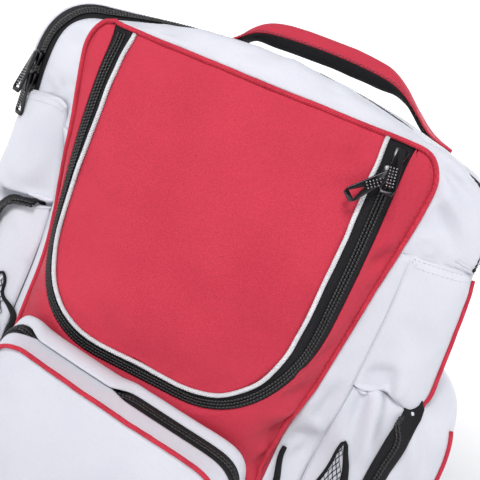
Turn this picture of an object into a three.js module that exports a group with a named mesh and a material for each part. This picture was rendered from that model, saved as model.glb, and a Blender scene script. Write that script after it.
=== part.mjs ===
import * as THREE from 'three';

// Sports backpack. Sizes in mm, +Z up, front towards -Y, left and right as seen from the front.
const cloth = 2; // sewn cloth wall
const padding = 7; // padded back panel
const netThick = 1.2; // mesh pocket wall
const tapeThick = 1.2; // zip tape laid on a pocket
const seamGap = 0.25; // each piece stops this far short of its seam
const pipingRadius = 1.9;
const basePlate = 3;
const wallFoot = basePlate + 0.4;

const zipEnd = { left: 350, right: 365 }; // heights where the main zip ends
const panelTop = 428;
const panelFlat = 101; // half length of the panel's straight top edge
const flapHalf = 85;
const flapFoot = 238;
const flapCorner = 66; // height of the flap's rounded lower corners
const flapBottomHalf = 30;
const bandShows = { left: 12.5, right: 16, bottom: 10.5 }; // front zip band that the flap leaves showing

const pocketHalf = 91;
const pocketFaceHalf = 85;
const pocketTop = 221;
const pocketTilt = 0.115; // the loaded pocket hangs lower on its right
const pocketFoot = 16;
const pocketFront = -62; // depth of the pocket's face
const pocketCorner = 21;

const handleY = 96;
const handleHalf = 12.5;
const gripHeight = 9.5; // of each half of the rounded grip
const gripDepth = 8.5;

// Front panel: height, depth on the centre line and at the sides, half width, and where its left seam lies.
const panelTable = [
  { z: 3.4, mid: -17, sideLeft: -8, sideRight: -8, half: 96, seamLeft: 96 },
  { z: 100, mid: -22, sideLeft: -10, sideRight: -10, half: 98, seamLeft: 98 },
  { z: 200, mid: -22, sideLeft: -8, sideRight: -8, half: 99.5, seamLeft: 99.5 },
  { z: 225, mid: -25, sideLeft: -2, sideRight: -4, half: 101, seamLeft: 100.5 },
  { z: 255, mid: -26, sideLeft: 17, sideRight: 3, half: 104, seamLeft: 102.5 },
  { z: 285, mid: -24, sideLeft: 23, sideRight: 6, half: 107.5, seamLeft: 104 },
  { z: 320, mid: -19, sideLeft: 22, sideRight: 6, half: 111.5, seamLeft: 105 },
  { z: 357, mid: -11, sideLeft: 12, sideRight: 6, half: 116, seamLeft: 105.5 },
  { z: 404, mid: -4, sideLeft: 9, sideRight: 8.5, half: 121, seamLeft: 114 },
  { z: 418, mid: 2, sideLeft: 8, sideRight: 8, half: 121, seamLeft: 117 },
  { z: 428, mid: 8, sideLeft: 8, sideRight: 8, half: 121, seamLeft: 117 },
];

// Outlines of the body over the top, from the front strip to the back panel.
const archTable = [
  {
    yLeft: 18, yRight: 20, left: 133, right: 144,
    top: 447.5, flat: 110, crownLeft: 22, crownRight: 15, drop: 40,
  },
  {
    yLeft: 27, yRight: 33, left: 148, right: 165,
    top: 444, flat: 119, crownLeft: 20, crownRight: 19, drop: 52,
  },
  {
    yLeft: 39, yRight: 48, left: 171, right: 165,
    top: 442, flat: 122, crownLeft: 9, crownRight: 18, drop: 52,
  },
  {
    yLeft: 72, yRight: 72, left: 169, right: 166,
    top: 440, flat: 114, crownLeft: 11, crownRight: 9, drop: 51,
  },
  {
    yLeft: 95, yRight: 95, left: 161, right: 161,
    top: 430, flat: 102, crownLeft: 12, crownRight: 12, drop: 48,
  },
  {
    yLeft: 148, yRight: 148, left: 140, right: 140,
    top: 424, flat: 90, crownLeft: 9, crownRight: 9, drop: 45,
  },
];

// Below the zip ends: seam between front strip and side pockets, and the back seam.
const sideTable = [
  { z: 3.4, seamX: 114, seamY: -2, backX: 132 },
  { z: 110, seamX: 118, seamY: 0, backX: 135 },
  { z: 215, seamX: 123, seamY: 5, backX: 138 },
  { z: 272, seamX: 126, seamY: 11, backX: 139 },
  { z: 320, seamX: 127, seamY: 12, backX: 140 },
  { z: 350, seamX: 127, seamY: 10.7, backX: 140 },
];
const levels = [330, 302, 272, 245, 215, 170, 110, 55, wallFoot];

// Lower edge of the upper side pockets, from the front strip to the rear.
const upperEdge = [
  { x: 126.5, y: 11, lift: 0, lean: 1 },
  { x: 150, y: 19, lift: -1, lean: 0.5 },
  { x: 167, y: 28, lift: -2, lean: 0.2 },
  { x: 177, y: 38, lift: -3, lean: 0 },
  { x: 174, y: 70, lift: 12, lean: 0 },
  { x: 164, y: 96, lift: 26, lean: 0 },
  { x: 149, y: 129, lift: 46, lean: 0 },
];
const upperFoot = { left: 288, right: 273 };
const upperLean = { left: 12, right: 0 }; // more height at the front
const lowerLift = { left: 14, right: 0 }; // the left pockets are pushed up a little
const lowerLean = { left: 22, right: 9 }; // their tops rise towards the front strip

// Plan of the lower side pockets, from the front strip to the rear.
const lowerPlan = [
  { x: 125, y: 6, top: 258, foot: 22 },
  { x: 145, y: 12, top: 264, foot: 16 },
  { x: 155, y: 16, top: 266, foot: 14 },
  { x: 170, y: 23, top: 267, foot: 14 },
  { x: 195, y: 33, top: 266, foot: 14 },
  { x: 206, y: 47, top: 278, foot: 14 },
  { x: 206, y: 80, top: 288, foot: 14 },
  { x: 190, y: 115, top: 286, foot: 14 },
  { x: 143, y: 131, top: 272, foot: 18 },
];
// Section of a lower side pocket: share of its bulge, and place between foot and top.
const lowerRise = [
  { out: 0.03, at: 0.02 },
  { out: 0.75, at: 0 },
  { out: 0.96, at: 0.06 },
  { out: 1, at: 0.2 },
  { out: 1.01, at: 0.45 },
  { out: 1, at: 0.7 },
  { out: 0.99, at: 0.84 },
  { out: 0.95, at: 0.93 },
  { out: 0.75, at: 0.98 },
  { out: 0.4, at: 0.965 },
  { out: 0.03, at: 0.95 },
];

// Shoulder strap, from the back panel's top round to its foot.
const strapTable = [
  { x: 46, y: 149.4, z: 403, half: 30, thick: 8 },
  { x: 46, y: 163, z: 409, half: 30, thick: 9 },
  { x: 48, y: 180, z: 406, half: 30, thick: 9 },
  { x: 52, y: 195, z: 386, half: 31, thick: 10 },
  { x: 61, y: 206, z: 335, half: 32, thick: 10 },
  { x: 72, y: 208, z: 275, half: 29, thick: 10 },
  { x: 83, y: 200, z: 215, half: 22, thick: 8 },
  { x: 87, y: 193, z: 192, half: 13, thick: 4 },
  { x: 94, y: 176, z: 115, half: 12.5, thick: 3 },
  { x: 98, y: 158, z: 50, half: 12.5, thick: 3 },
  { x: 98, y: 151.8, z: 28, half: 12.5, thick: 3 },
];

// Handle: place along the bag, height, share of the rounded grip.
const handleTable = [
  { x: -112, z: 425.5, grip: 0 },
  { x: -86, z: 429.6, grip: 0 },
  { x: -62, z: 433.5, grip: 0 },
  { x: -48, z: 439, grip: 0 },
  { x: -38, z: 449, grip: 0.3 },
  { x: -27, z: 452.5, grip: 0.9 },
  { x: -6, z: 454.6, grip: 1 },
  { x: 18, z: 455.4, grip: 1 },
  { x: 43, z: 454.6, grip: 1 },
  { x: 63, z: 452.5, grip: 0.9 },
  { x: 75, z: 449, grip: 0.3 },
  { x: 91, z: 438, grip: 0 },
  { x: 104, z: 428, grip: 0 },
  { x: 121, z: 422.6, grip: 0 },
];

const looks = {
  white: { color: '#eceef3', roughness: 0.75, metalness: 0 },
  red: { color: '#d03b4d', roughness: 0.8, metalness: 0 },
  black: { color: '#2b282d', roughness: 0.85, metalness: 0 },
  metal: { color: '#1c1c1f', roughness: 0.35, metalness: 0.7 },
};

const vec = (x, y, z) => new THREE.Vector3(x, y, z);
const mix = (a, b, t) => a + (b - a) * t;
const between = (p, q, t) => p.clone().lerp(q, t);
const sides = [
  { side: 'left', sign: -1 },
  { side: 'right', sign: 1 },
];

// Smooth value of one column of a table at a given height.
function valueAt(table, z, key) {
  const last = table.length - 1;
  if (z <= table[0].z) return table[0][key];
  if (z >= table[last].z) return table[last][key];
  let i = 0;
  while (table[i + 1].z < z) i += 1;
  const slope = (k) => {
    const low = table[Math.max(k - 1, 0)];
    const high = table[Math.min(k + 1, last)];
    return (high[key] - low[key]) / (high.z - low.z);
  };
  const span = table[i + 1].z - table[i].z;
  const t = (z - table[i].z) / span;
  const a = table[i][key];
  const b = table[i + 1][key];
  const m = slope(i) * span;
  const n = slope(i + 1) * span;
  const t2 = t * t;
  const t3 = t2 * t;
  return (2 * t3 - 3 * t2 + 1) * a + (t3 - 2 * t2 + t) * m + (3 * t2 - 2 * t3) * b + (t3 - t2) * n;
}

// Depth of the bulging front panel.
function panelDepth(x, z) {
  const mid = valueAt(panelTable, z, 'mid');
  const side = valueAt(panelTable, z, x < 0 ? 'sideLeft' : 'sideRight');
  const r = Math.min(Math.abs(x) / valueAt(panelTable, z, 'half'), 1);
  return mix(mid, side, r ** 8);
}
const seamAt = (sign, z) => sign * valueAt(panelTable, z, sign < 0 ? 'seamLeft' : 'half');
const onPanel = (x, z, lift = 0) => vec(x, panelDepth(x, z) - lift, z);
function panelNormal(x, z) {
  const acrossX = (panelDepth(x + 2, z) - panelDepth(x - 2, z)) / 4;
  const acrossZ = (panelDepth(x, z + 4) - panelDepth(x, z - 4)) / 8;
  return vec(acrossX, -1, acrossZ).normalize();
}

// Arches over the top: side steps, corner angles and shares of the flat top.
const sideSteps = [0, 0.25, 0.5, 0.75];
const cornerAngles = [0, 15, 32, 48, 64, 80];
const topShares = [-101, -85, -57, -28, 0, 28, 57, 85, 101].map((x) => x / panelFlat);

function corner(angle) {
  const a = THREE.MathUtils.degToRad(angle);
  return { c: Math.cos(a) ** 0.9, s: Math.sin(a) ** 0.9 };
}

function archHalf(side, sign, place) {
  const points = [];
  for (const step of sideSteps) {
    const z = mix(zipEnd[side], place.spring[side], step);
    points.push(place.wall(z, side, sign));
  }
  for (const angle of cornerAngles) {
    const { c, s } = corner(angle);
    points.push(place.turn(c, s, side, sign));
  }
  return points;
}

function archRow(place) {
  const left = archHalf('left', -1, place);
  const top = topShares.map((share) => place.crown(share));
  const right = archHalf('right', 1, place).reverse();
  return [...left, ...top, ...right];
}

const panelSpring = 404;
const panelPlace = {
  spring: { left: panelSpring, right: panelSpring },
  wall: (z, side, sign) => onPanel(seamAt(sign, z), z),
  turn: (c, s, side, sign) => {
    const wide = seamAt(sign, panelSpring);
    return onPanel(mix(sign * panelFlat, wide, c), mix(panelSpring, panelTop, s));
  },
  crown: (share) => onPanel(share * panelFlat, panelTop),
};

function tablePlace(row) {
  const crown = { left: row.crownLeft, right: row.crownRight };
  const depth = { left: row.yLeft, right: row.yRight };
  const spring = {
    left: row.top - row.crownLeft - row.drop,
    right: row.top - row.crownRight - row.drop,
  };
  return {
    spring,
    wall: (z, side, sign) => vec(sign * row[side], depth[side], z),
    turn: (c, s, side, sign) => {
      const x = sign * mix(row.flat, row[side], c);
      return vec(x, depth[side], spring[side] + row.drop * s);
    },
    crown: (share) => {
      const fall = crown[share < 0 ? 'left' : 'right'];
      const y = mix(row.yLeft, row.yRight, (share + 1) / 2);
      return vec(share * row.flat, y, row.top - fall * share * share);
    },
  };
}

const seamRow = archRow(panelPlace);
const [midRow, zipFrontRow, zipRearRow, rearRow, shoulderRow, backRow] = archTable.map((row) =>
  archRow(tablePlace(row)),
);
const pocketSeamRow = seamRow.map((p, i) => between(p, midRow[i], 1 / 3).add(vec(0, -0.4, 0.8)));

// Lines going on down each side from the arches' ends.
const lineDown = (start, at) => [start, ...levels.map((z) => at(z))];
const seamBack = { left: 5, right: 0 }; // the left side falls back behind the bulging flap
const seamIn = { left: 15, right: 0 }; // and its pockets are pressed in against the flap
function pocketSeamAt(side, sign, z) {
  const back = seamBack[side] * THREE.MathUtils.smoothstep(z, 215, 270);
  const pressed = THREE.MathUtils.clamp((z - 110) / 135, 0, 1);
  const x = valueAt(sideTable, z, 'seamX') - seamIn[side] * pressed;
  return vec(sign * x, valueAt(sideTable, z, 'seamY') + back, z);
}
const ends = { left: 0, right: seamRow.length - 1 };
const bodySides = {};
for (const { side, sign } of sides) {
  const end = ends[side];
  const seam = lineDown(seamRow[end], (z) => onPanel(seamAt(sign, z), z));
  const pocketSeam = lineDown(pocketSeamRow[end], (z) => pocketSeamAt(side, sign, z));
  const back = lineDown(backRow[end], (z) => vec(sign * valueAt(sideTable, z, 'backX'), 148, z));
  bodySides[side] = { seam, pocketSeam, back };
}

// Outer face of a side wall behind the pockets.
const wallInset = cloth + 0.7;
const wallRear = 148 - padding - 0.8;
const wallFlare = [0, 36, 24, 0];
function wallPoint(side, sign, share, z) {
  const top = zipEnd[side] - 3.5;
  const front = pocketSeamAt(side, sign, z).add(vec(-sign * wallInset, 2 + 0.45 * seamBack[side], 0));
  const rear = vec(sign * (valueAt(sideTable, z, 'backX') - wallInset), wallRear, z);
  const p = between(front, rear, share);
  const rise = THREE.MathUtils.smoothstep(z, 292, top);
  const k = Math.min(Math.floor(share * 3), 2);
  p.x += sign * rise * mix(wallFlare[k], wallFlare[k + 1], share * 3 - k);
  return p;
}

const group = new THREE.Group();

function addMesh(name, geometry, look) {
  const mesh = new THREE.Mesh(geometry, new THREE.MeshStandardMaterial(looks[look]));
  mesh.name = name;
  group.add(mesh);
}

// Sheets are grids of points on the outer face. Seam points that two sheets share get one common normal.
const sheets = [];
const seamNormals = new Map();
const keyOf = (p) => [p.x, p.y, p.z].map((v) => Math.round(v * 50)).join(',');
const bodyCentre = vec(0, 70, 230);

function gridNormals(rows, centre) {
  const step = (line, i) => line[Math.min(i + 1, line.length - 1)].clone().sub(line[Math.max(i - 1, 0)]);
  const normals = rows.map((row, j) =>
    row.map((p, i) => {
      const column = rows.map((line) => line[i]);
      return step(row, i).cross(step(column, j)).normalize();
    }),
  );
  let facing = 0;
  rows.forEach((row, j) => row.forEach((p, i) => (facing += p.clone().sub(centre).dot(normals[j][i]))));
  if (facing < 0) normals.forEach((row) => row.forEach((n) => n.negate()));
  return normals;
}

function addSheet(name, rows, look, options = {}) {
  const { thick = cloth, centre = bodyCentre, ring = false, rim = seamGap } = options;
  const wrapped = ring ? rows.map((row) => [row[row.length - 1], ...row, row[0]]) : rows;
  let normals = gridNormals(wrapped, centre);
  if (ring) normals = normals.map((row) => row.slice(1, -1));
  rows.forEach((row, j) =>
    row.forEach((p, i) => {
      const key = keyOf(p);
      const sum = seamNormals.get(key) ?? vec(0, 0, 0);
      seamNormals.set(key, sum.add(normals[j][i]));
    }),
  );
  sheets.push({ name, rows, look, thick, ring, rim });
}

function solidFrom(outer, inner, ring) {
  const rowCount = outer.length;
  const count = outer[0].length;
  const positions = [...outer.flat(), ...inner.flat()].flatMap((p) => [p.x, p.y, p.z]);
  const a = (j, i) => j * count + (i % count);
  const b = (j, i) => rowCount * count + a(j, i);
  const index = [];
  const quad = (p, q, r, s) => index.push(p, q, r, p, r, s);
  const cells = ring ? count : count - 1;
  for (let j = 0; j < rowCount - 1; j += 1) {
    for (let i = 0; i < cells; i += 1) {
      quad(a(j, i), a(j, i + 1), a(j + 1, i + 1), a(j + 1, i));
      quad(b(j, i), b(j + 1, i), b(j + 1, i + 1), b(j, i + 1));
    }
  }
  const last = rowCount - 1;
  for (let i = 0; i < cells; i += 1) {
    quad(a(0, i), b(0, i), b(0, i + 1), a(0, i + 1));
    quad(a(last, i), a(last, i + 1), b(last, i + 1), b(last, i));
  }
  if (!ring) {
    for (let j = 0; j < last; j += 1) {
      quad(a(j, 0), a(j + 1, 0), b(j + 1, 0), b(j, 0));
      quad(a(j, cells), b(j, cells), b(j + 1, cells), a(j + 1, cells));
    }
  }
  let volume = 0;
  const at = (k) => vec(positions[3 * k], positions[3 * k + 1], positions[3 * k + 2]);
  for (let k = 0; k < index.length; k += 3) {
    volume += at(index[k]).dot(at(index[k + 1]).cross(at(index[k + 2])));
  }
  if (volume < 0) index.reverse();
  const geometry = new THREE.BufferGeometry();
  geometry.setAttribute('position', new THREE.Float32BufferAttribute(positions, 3));
  geometry.setIndex(index);
  geometry.computeVertexNormals();
  return geometry;
}

// Pull the rim of a grid back from its seams.
function shrink(rows, ring, rim) {
  const last = rows.length - 1;
  const towards = (p, q) => p.add(q.clone().sub(p).setLength(rim));
  const out = rows.map((row) => row.map((p) => p.clone()));
  out[0].forEach((p, i) => towards(p, rows[1][i]));
  out[last].forEach((p, i) => towards(p, rows[last - 1][i]));
  if (!ring) {
    out.forEach((row, j) => {
      const end = row.length - 1;
      towards(row[0], rows[j][1]);
      towards(row[end], rows[j][end - 1]);
    });
  }
  return out;
}

function buildSheets() {
  for (const { name, rows, look, thick, ring, rim } of sheets) {
    const outer = shrink(rows, ring, rim);
    const inner = outer.map((row, j) =>
      row.map((p, i) => {
        const normal = seamNormals.get(keyOf(rows[j][i])).clone().normalize();
        const depth = Array.isArray(thick) ? thick[j] : thick;
        return p.clone().addScaledVector(normal, -depth);
      }),
    );
    addMesh(name, solidFrom(outer, inner, ring), look);
  }
}

function weld(source) {
  const flat = source.index ? source.toNonIndexed() : source;
  const from = flat.getAttribute('position');
  const seen = new Map();
  const positions = [];
  const index = [];
  for (let k = 0; k < from.count; k += 1) {
    const p = [from.getX(k), from.getY(k), from.getZ(k)];
    const key = p.map((v) => Math.round(v * 1000)).join(',');
    if (!seen.has(key)) {
      seen.set(key, seen.size);
      positions.push(...p);
    }
    index.push(seen.get(key));
  }
  const kept = [];
  for (let k = 0; k < index.length; k += 3) {
    const [p, q, r] = [index[k], index[k + 1], index[k + 2]];
    if (p !== q && q !== r && r !== p) kept.push(p, q, r);
  }
  const geometry = new THREE.BufferGeometry();
  geometry.setAttribute('position', new THREE.Float32BufferAttribute(positions, 3));
  geometry.setIndex(kept);
  geometry.computeVertexNormals();
  return geometry;
}

// Round cord through points.
function addCord(name, points, radius, steps, look) {
  const shape = new THREE.Shape();
  for (let k = 0; k < 6; k += 1) {
    const a = (k * Math.PI) / 3;
    const corner = [radius * Math.cos(a), radius * Math.sin(a)];
    if (k === 0) shape.moveTo(...corner);
    else shape.lineTo(...corner);
  }
  const extrudePath = new THREE.CatmullRomCurve3(points, false, 'centripetal');
  addMesh(name, weld(new THREE.ExtrudeGeometry(shape, { steps, extrudePath, bevelEnabled: false })), look);
}
function seamLift(p, lift) {
  const normal = seamNormals.get(keyOf(p)).clone().normalize();
  return p.clone().addScaledVector(normal, lift);
}

// Flap: rows from the top seam down, each between the flap's two edges.
const flapLine = [];
const flapShares = topShares.slice(1, -1).map((share) => share / topShares[7]);
const flapSpring = flapFoot + flapCorner;
for (const share of [0, 0.1, 0.2, 0.32, 0.44, 0.56, 0.68, 0.8, 0.9, 1]) {
  flapLine.push({ x: flapHalf + 1.5 * Math.sin(share * Math.PI), z: mix(panelTop, flapSpring, share) });
}
for (const angle of [12, 24, 36, 47, 57, 66, 74, 82, 90]) {
  const a = THREE.MathUtils.degToRad(angle);
  flapLine.push({
    x: flapBottomHalf + (flapHalf - flapBottomHalf) * Math.cos(a) ** 0.95,
    z: flapSpring - flapCorner * Math.sin(a) ** 0.95,
  });
}
const flapRows = flapLine.map(({ x, z }) => flapShares.map((share) => onPanel(share * x, z)));
addSheet('front_flap', flapRows, 'red');

// Zip band round the flap's edge, then the red border out to the seam.
const flapEdge = [
  ...flapRows.map((row) => row[0]),
  ...flapRows[flapRows.length - 1].slice(1, -1),
  ...flapRows.map((row) => row[row.length - 1]).reverse(),
];
const bandOuter = flapEdge.map((p, i) => {
  if (i === 0 || i === flapEdge.length - 1) return onPanel(Math.sign(p.x) * panelFlat, panelTop);
  const along = flapEdge[i + 1].clone().sub(flapEdge[i - 1]);
  const low = 1 - THREE.MathUtils.smoothstep(p.z, flapFoot, flapFoot + 70);
  const shows = mix(p.x < 0 ? bandShows.left : bandShows.right, bandShows.bottom, low);
  const away = vec(along.z, 0, -along.x).setLength(shows);
  return onPanel(p.x + away.x, p.z + away.z);
});
addSheet('front_zip', [flapEdge, bandOuter], 'black', { thick: 1.6 });

const borderEdge = [
  ...seamRow.slice(0, 10).reverse(),
  ...bodySides.left.seam.slice(1),
  ...[-64, -32, 0, 32, 64].map((x) => onPanel(x, wallFoot)),
  ...bodySides.right.seam.slice(1).reverse(),
  ...seamRow.slice(-10).reverse(),
];
const borderRows = [0, 0.33, 0.67, 1].map((share) =>
  bandOuter.map((p, i) => {
    if (share === 0) return p;
    const q = borderEdge[i];
    const sink = i === 0 || i === bandOuter.length - 1 ? 1.4 : 0;
    return share === 1 ? q : onPanel(mix(p.x, q.x, share), mix(p.z, q.z, share) - sink);
  }),
);
addSheet('front_panel', borderRows, 'red');

// Arches over the top and the strips that go on down.
addSheet('zip_gusset_front', [seamRow, pocketSeamRow, midRow, zipFrontRow], 'white');
addSheet('main_zip', [zipFrontRow, zipRearRow], 'black', { thick: 1.6 });
addSheet('zip_gusset_back', [zipRearRow, rearRow, shoulderRow, backRow], 'white');
for (const { side } of sides) {
  const { seam, pocketSeam } = bodySides[side];
  addSheet(`front_strip_${side}`, [seam, pocketSeam], 'white');
}

// Padded back, from the foot up to the top seam.
const backColumns = topShares.length;
const backLine = (p, q) => topShares.map((share, i) => {
  const point = between(p, q, i / (backColumns - 1));
  const across = 1 - (share * share);
  const rise = THREE.MathUtils.smoothstep(point.z, 0, 90);
  const up = rise * (1 - THREE.MathUtils.smoothstep(point.z, 330, 425));
  point.y += 6 * across * up;
  return point;
});
const backRows = [];
for (let k = levels.length; k >= 1; k -= 2) {
  backRows.push(backLine(bodySides.left.back[k], bodySides.right.back[k]));
}
for (let k = 0; k < 10; k += 1) backRows.push(backLine(backRow[k], backRow[backRow.length - 1 - k]));
backRows.push(backRow.slice(10, -10));
addSheet('back_panel', backRows, 'black', { thick: padding, rim: 0.9 });

// Side walls behind the pockets.
const wallLevels = [wallFoot, 60, 130, 200, 262, 292, 318];
for (const { side, sign } of sides) {
  const rows = [...wallLevels, zipEnd[side] - 3.5].map((z) =>
    [0, 0.33, 0.67, 1].map((share) => wallPoint(side, sign, share, z)),
  );
  addSheet(`side_panel_${side}`, rows, 'white');
}

// Upper side pockets: hang from the arches' ends, with an underside that runs back to the side wall.
const upperShares = [0, 0, 0.18, 0.28, 0.5, 0.68, 0.93];
for (const { side, sign } of sides) {
  const end = ends[side];
  const topsFrom = [pocketSeamRow, midRow, zipFrontRow, zipRearRow, rearRow, shoulderRow];
  const tops = topsFrom.map((row) => row[end]);
  tops.push(between(shoulderRow[end], backRow[end], 0.62));
  const foot = upperEdge.map((p, i) => {
    const back = i === 0 ? seamBack[side] : 0;
    const x = i === 0 ? p.x - seamIn[side] : p.x;
    return vec(sign * x, p.y + back, upperFoot[side] + p.lift + upperLean[side] * p.lean);
  });
  const puff = [0, 3, 3, 1, 4, 3, 0];
  const rows = [0, 0.3, 0.62, 0.88, 1].map((share) =>
    tops.map((p, i) => {
      const q = between(p, foot[i], share);
      if (i === 0 && share > 0) {
        return pocketSeamAt(side, sign, q.z).add(vec(sign, 0.2, 0));
      }
      const swell = puff[i] * Math.sin(share * Math.PI);
      q.x += sign * swell * 0.8;
      q.y -= i < 3 ? swell * 0.6 : 0;
      return q;
    }),
  );
  const under = foot.map((p, i) => {
    const z = p.z + 8;
    const wall = wallPoint(side, sign, upperShares[i], z + 4);
    if (i === 0) return vec(p.x + sign * 2.4, p.y + 1.2, p.z + 3);
    return vec(wall.x + sign * (i < 4 ? 4.6 : 1.4), Math.max(wall.y, p.y + 1), z);
  });
  rows.push(
    foot.map((p, i) => between(p, under[i], 0.5).add(vec(0, 0, 2))),
    under,
  );
  const centre = vec(sign * 150, 70, 325);
  addSheet(`upper_pocket_${side}`, rows, 'white', { centre });
}

// Lower side pockets.
const lowerGrids = {};
const lowerStart = { left: 1.3, right: 0.6 }; // clear of the front strip
for (const { side, sign } of sides) {
  const rows = lowerRise.map(({ out, at }) =>
    lowerPlan.map((p, i) => {
      const front = lowerLean[side] * THREE.MathUtils.clamp((150 - p.x) / 25, 0, 1);
      const lift = lowerLift[side] * THREE.MathUtils.clamp(1 - (p.y - 20) / 55, 0.2, 1) + front;
      const z = mix(p.foot, p.top + lift, at);
      const share = THREE.MathUtils.clamp((p.y - 10) / 128, 0.02, 0.95);
      const wall = wallPoint(side, sign, share, z);
      const inner = vec(wall.x + sign * 0.5, wall.y, z);
      if (i === 0) return pocketSeamAt(side, sign, z).add(vec(sign * lowerStart[side], 1.5 - 1.2 * out, 0));
      const slim = mix(0.985, 1, z / 270);
      const outer = vec(sign * p.x * slim, p.y - (1 - slim) * 300, z);
      return between(inner, outer, out);
    }),
  );
  lowerGrids[side] = rows;
  addSheet(`lower_pocket_${side}`, rows, 'white', { centre: vec(sign * 155, 75, 140) });
}

// Lower front pocket: a face, two gusset strips with the zip between, all round one outline.
const pocketColumns = [-1, -0.72, -0.42, -0.14, 0.14, 0.42, 0.72, 1];
function pocketRow(half, turn, low, inset) {
  const angle = THREE.MathUtils.degToRad(turn * 90);
  const wide = half - pocketCorner * (1 - Math.sin(angle));
  const rise = pocketCorner * (1 - Math.cos(angle));
  return pocketColumns.map((column) => {
    const x = column * wide;
    const z = low ? pocketFoot + inset + rise : pocketTop - pocketTilt * x - inset - rise;
    return { x, z };
  });
}
function pocketLines(half, inset) {
  const lower = [0, 0.3, 0.6, 1].map((turn) => pocketRow(half, turn, true, inset));
  const upper = [1, 0.6, 0.3, 0].map((turn) => pocketRow(half, turn, false, inset));
  const middle = [0.25, 0.5, 0.75].map((share) =>
    lower[3].map((p, i) => ({ x: mix(p.x, upper[0][i].x, share), z: mix(p.z, upper[0][i].z, share) })),
  );
  return [...lower, ...middle, ...upper];
}
const rimOf = (rows) => {
  const last = rows.length - 1;
  const right = rows.slice(1, -1).map((row) => row[row.length - 1]);
  const left = rows.slice(1, -1).map((row) => row[0]);
  return [...rows[0], ...right, ...rows[last].slice().reverse(), ...left.reverse()];
};
function frontOf(x, z) {
  const edge = 3 * (Math.abs(x) / pocketFaceHalf) ** 2;
  return pocketFront + edge - 4 * Math.sin(((z - 10) / 215) * Math.PI);
}
const faceLines = pocketLines(pocketFaceHalf, -1);
const faceRows = faceLines.map((row) => row.map((p) => vec(p.x, frontOf(p.x, p.z), p.z)));
const faceRim = rimOf(faceRows);
const rearRim = rimOf(pocketLines(pocketHalf, 0)).map((p) => onPanel(p.x, p.z, 0.95));
const swellOf = (share) => 4 * Math.sin(share * Math.PI);
// The strip behind the pocket's zip puffs up over its seam.
function crestOf(share, z) {
  const along = Math.min(share / 0.42, 1);
  return 9 * Math.sin(along * Math.PI) * THREE.MathUtils.smoothstep(z, 160, 205);
}
const pocketRing = (share) =>
  rearRim.map((p, i) => {
    const q = between(p, faceRim[i], share);
    const away = vec(q.x * 0.8, 0, q.z - 120).setLength(swellOf(share));
    away.z += crestOf(share, q.z);
    return q.add(away);
  });
const rings = [0, 0.2, 0.4, 0.68, 0.86, 1].map((share) => (share === 1 ? faceRim : pocketRing(share)));
const pocketCentre = vec(0, -40, 120);
addSheet('pocket_face', faceRows, 'white', { centre: vec(0, 200, 120) });
addSheet('pocket_gusset_rear', rings.slice(0, 3), 'white', { centre: pocketCentre, ring: true });
addSheet('pocket_gusset_front', rings.slice(3), 'white', { centre: pocketCentre, ring: true });
const rimCount = faceRim.length;
const zipFrom = pocketColumns.length + 4;
const zipTo = rimCount - 5;
const turned = (ring) => Array.from({ length: rimCount }, (_, i) => ring[(i + zipFrom) % rimCount]);
const band = [rings[2], rings[3]].map(turned);
const zipCount = zipTo - zipFrom + 1;
addSheet('pocket_zip', band.map((row) => row.slice(0, zipCount)), 'black', {
  thick: 1.6,
  centre: pocketCentre,
  rim: 0.6,
});
addSheet('pocket_band', band.map((row) => [...row.slice(zipCount - 1), row[0]]), 'white', {
  centre: pocketCentre,
  rim: 0.6,
});

buildSheets();

// Cords along the seams.
const seamPath = [
  ...bodySides.left.seam.slice(1).reverse(),
  ...seamRow,
  ...bodySides.right.seam.slice(1),
];
const cordLift = pipingRadius + 0.8;
function valleyLift(p) {
  const lift = p.x < 0 ? 1.3 : 0.3;
  return p.z < 345 ? lift * THREE.MathUtils.smoothstep(p.z, 200, 245) : 0;
}
const frontCord = seamPath.map((p) => seamLift(p, cordLift + valleyLift(p)));
addCord('front_piping', frontCord, pipingRadius, 74, 'red');
addCord('flap_piping', flapEdge.map((p) => seamLift(p, cordLift)).slice(1, -1), pipingRadius, 44, 'white');
const facePath = [...faceRim.slice(4), ...faceRim.slice(0, 4)].map((p) => seamLift(p, cordLift));
facePath.push(facePath[facePath.length - 1].clone().lerp(facePath[0], 0.95));
addCord('pocket_piping', facePath, pipingRadius, 44, 'red');
const pipingSeat = { left: 1.4, right: 2.4 }; // how far the cord stands off the pocket's edge
for (const { side, sign } of sides) {
  const end = ends[side];
  const top = zipRearRow[end];
  const foot = upperEdge[3];
  const upper = [0.06, 0.35, 0.65, 0.9, 1.04].map((share) => {
    const p = between(top, vec(sign * foot.x, foot.y, upperFoot[side] + foot.lift), share);
    const swell = 0.8 * Math.sin(Math.min(share, 1) * Math.PI);
    return p.add(vec(sign * (pipingSeat[side] + swell), -pipingSeat[side] + 0.2, 0));
  });
  addCord(`upper_piping_${side}`, upper, pipingRadius * 0.85, 8, 'red');
  const edge = lowerGrids[side].slice(2, 8).map((row) => seamLift(row[5], pipingRadius + 0.4));
  addCord(`lower_piping_${side}`, edge, pipingRadius * 0.85, 14, 'red');
}

// Point of a grid between its rows and columns.
function gridPoint(rows, j, i) {
  const j0 = Math.min(Math.floor(j), rows.length - 2);
  const i0 = Math.min(Math.floor(i), rows[0].length - 2);
  const low = between(rows[j0][i0], rows[j0][i0 + 1], i - i0);
  const high = between(rows[j0 + 1][i0], rows[j0 + 1][i0 + 1], i - i0);
  return between(low, high, j - j0);
}
sheets.length = 0;

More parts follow.
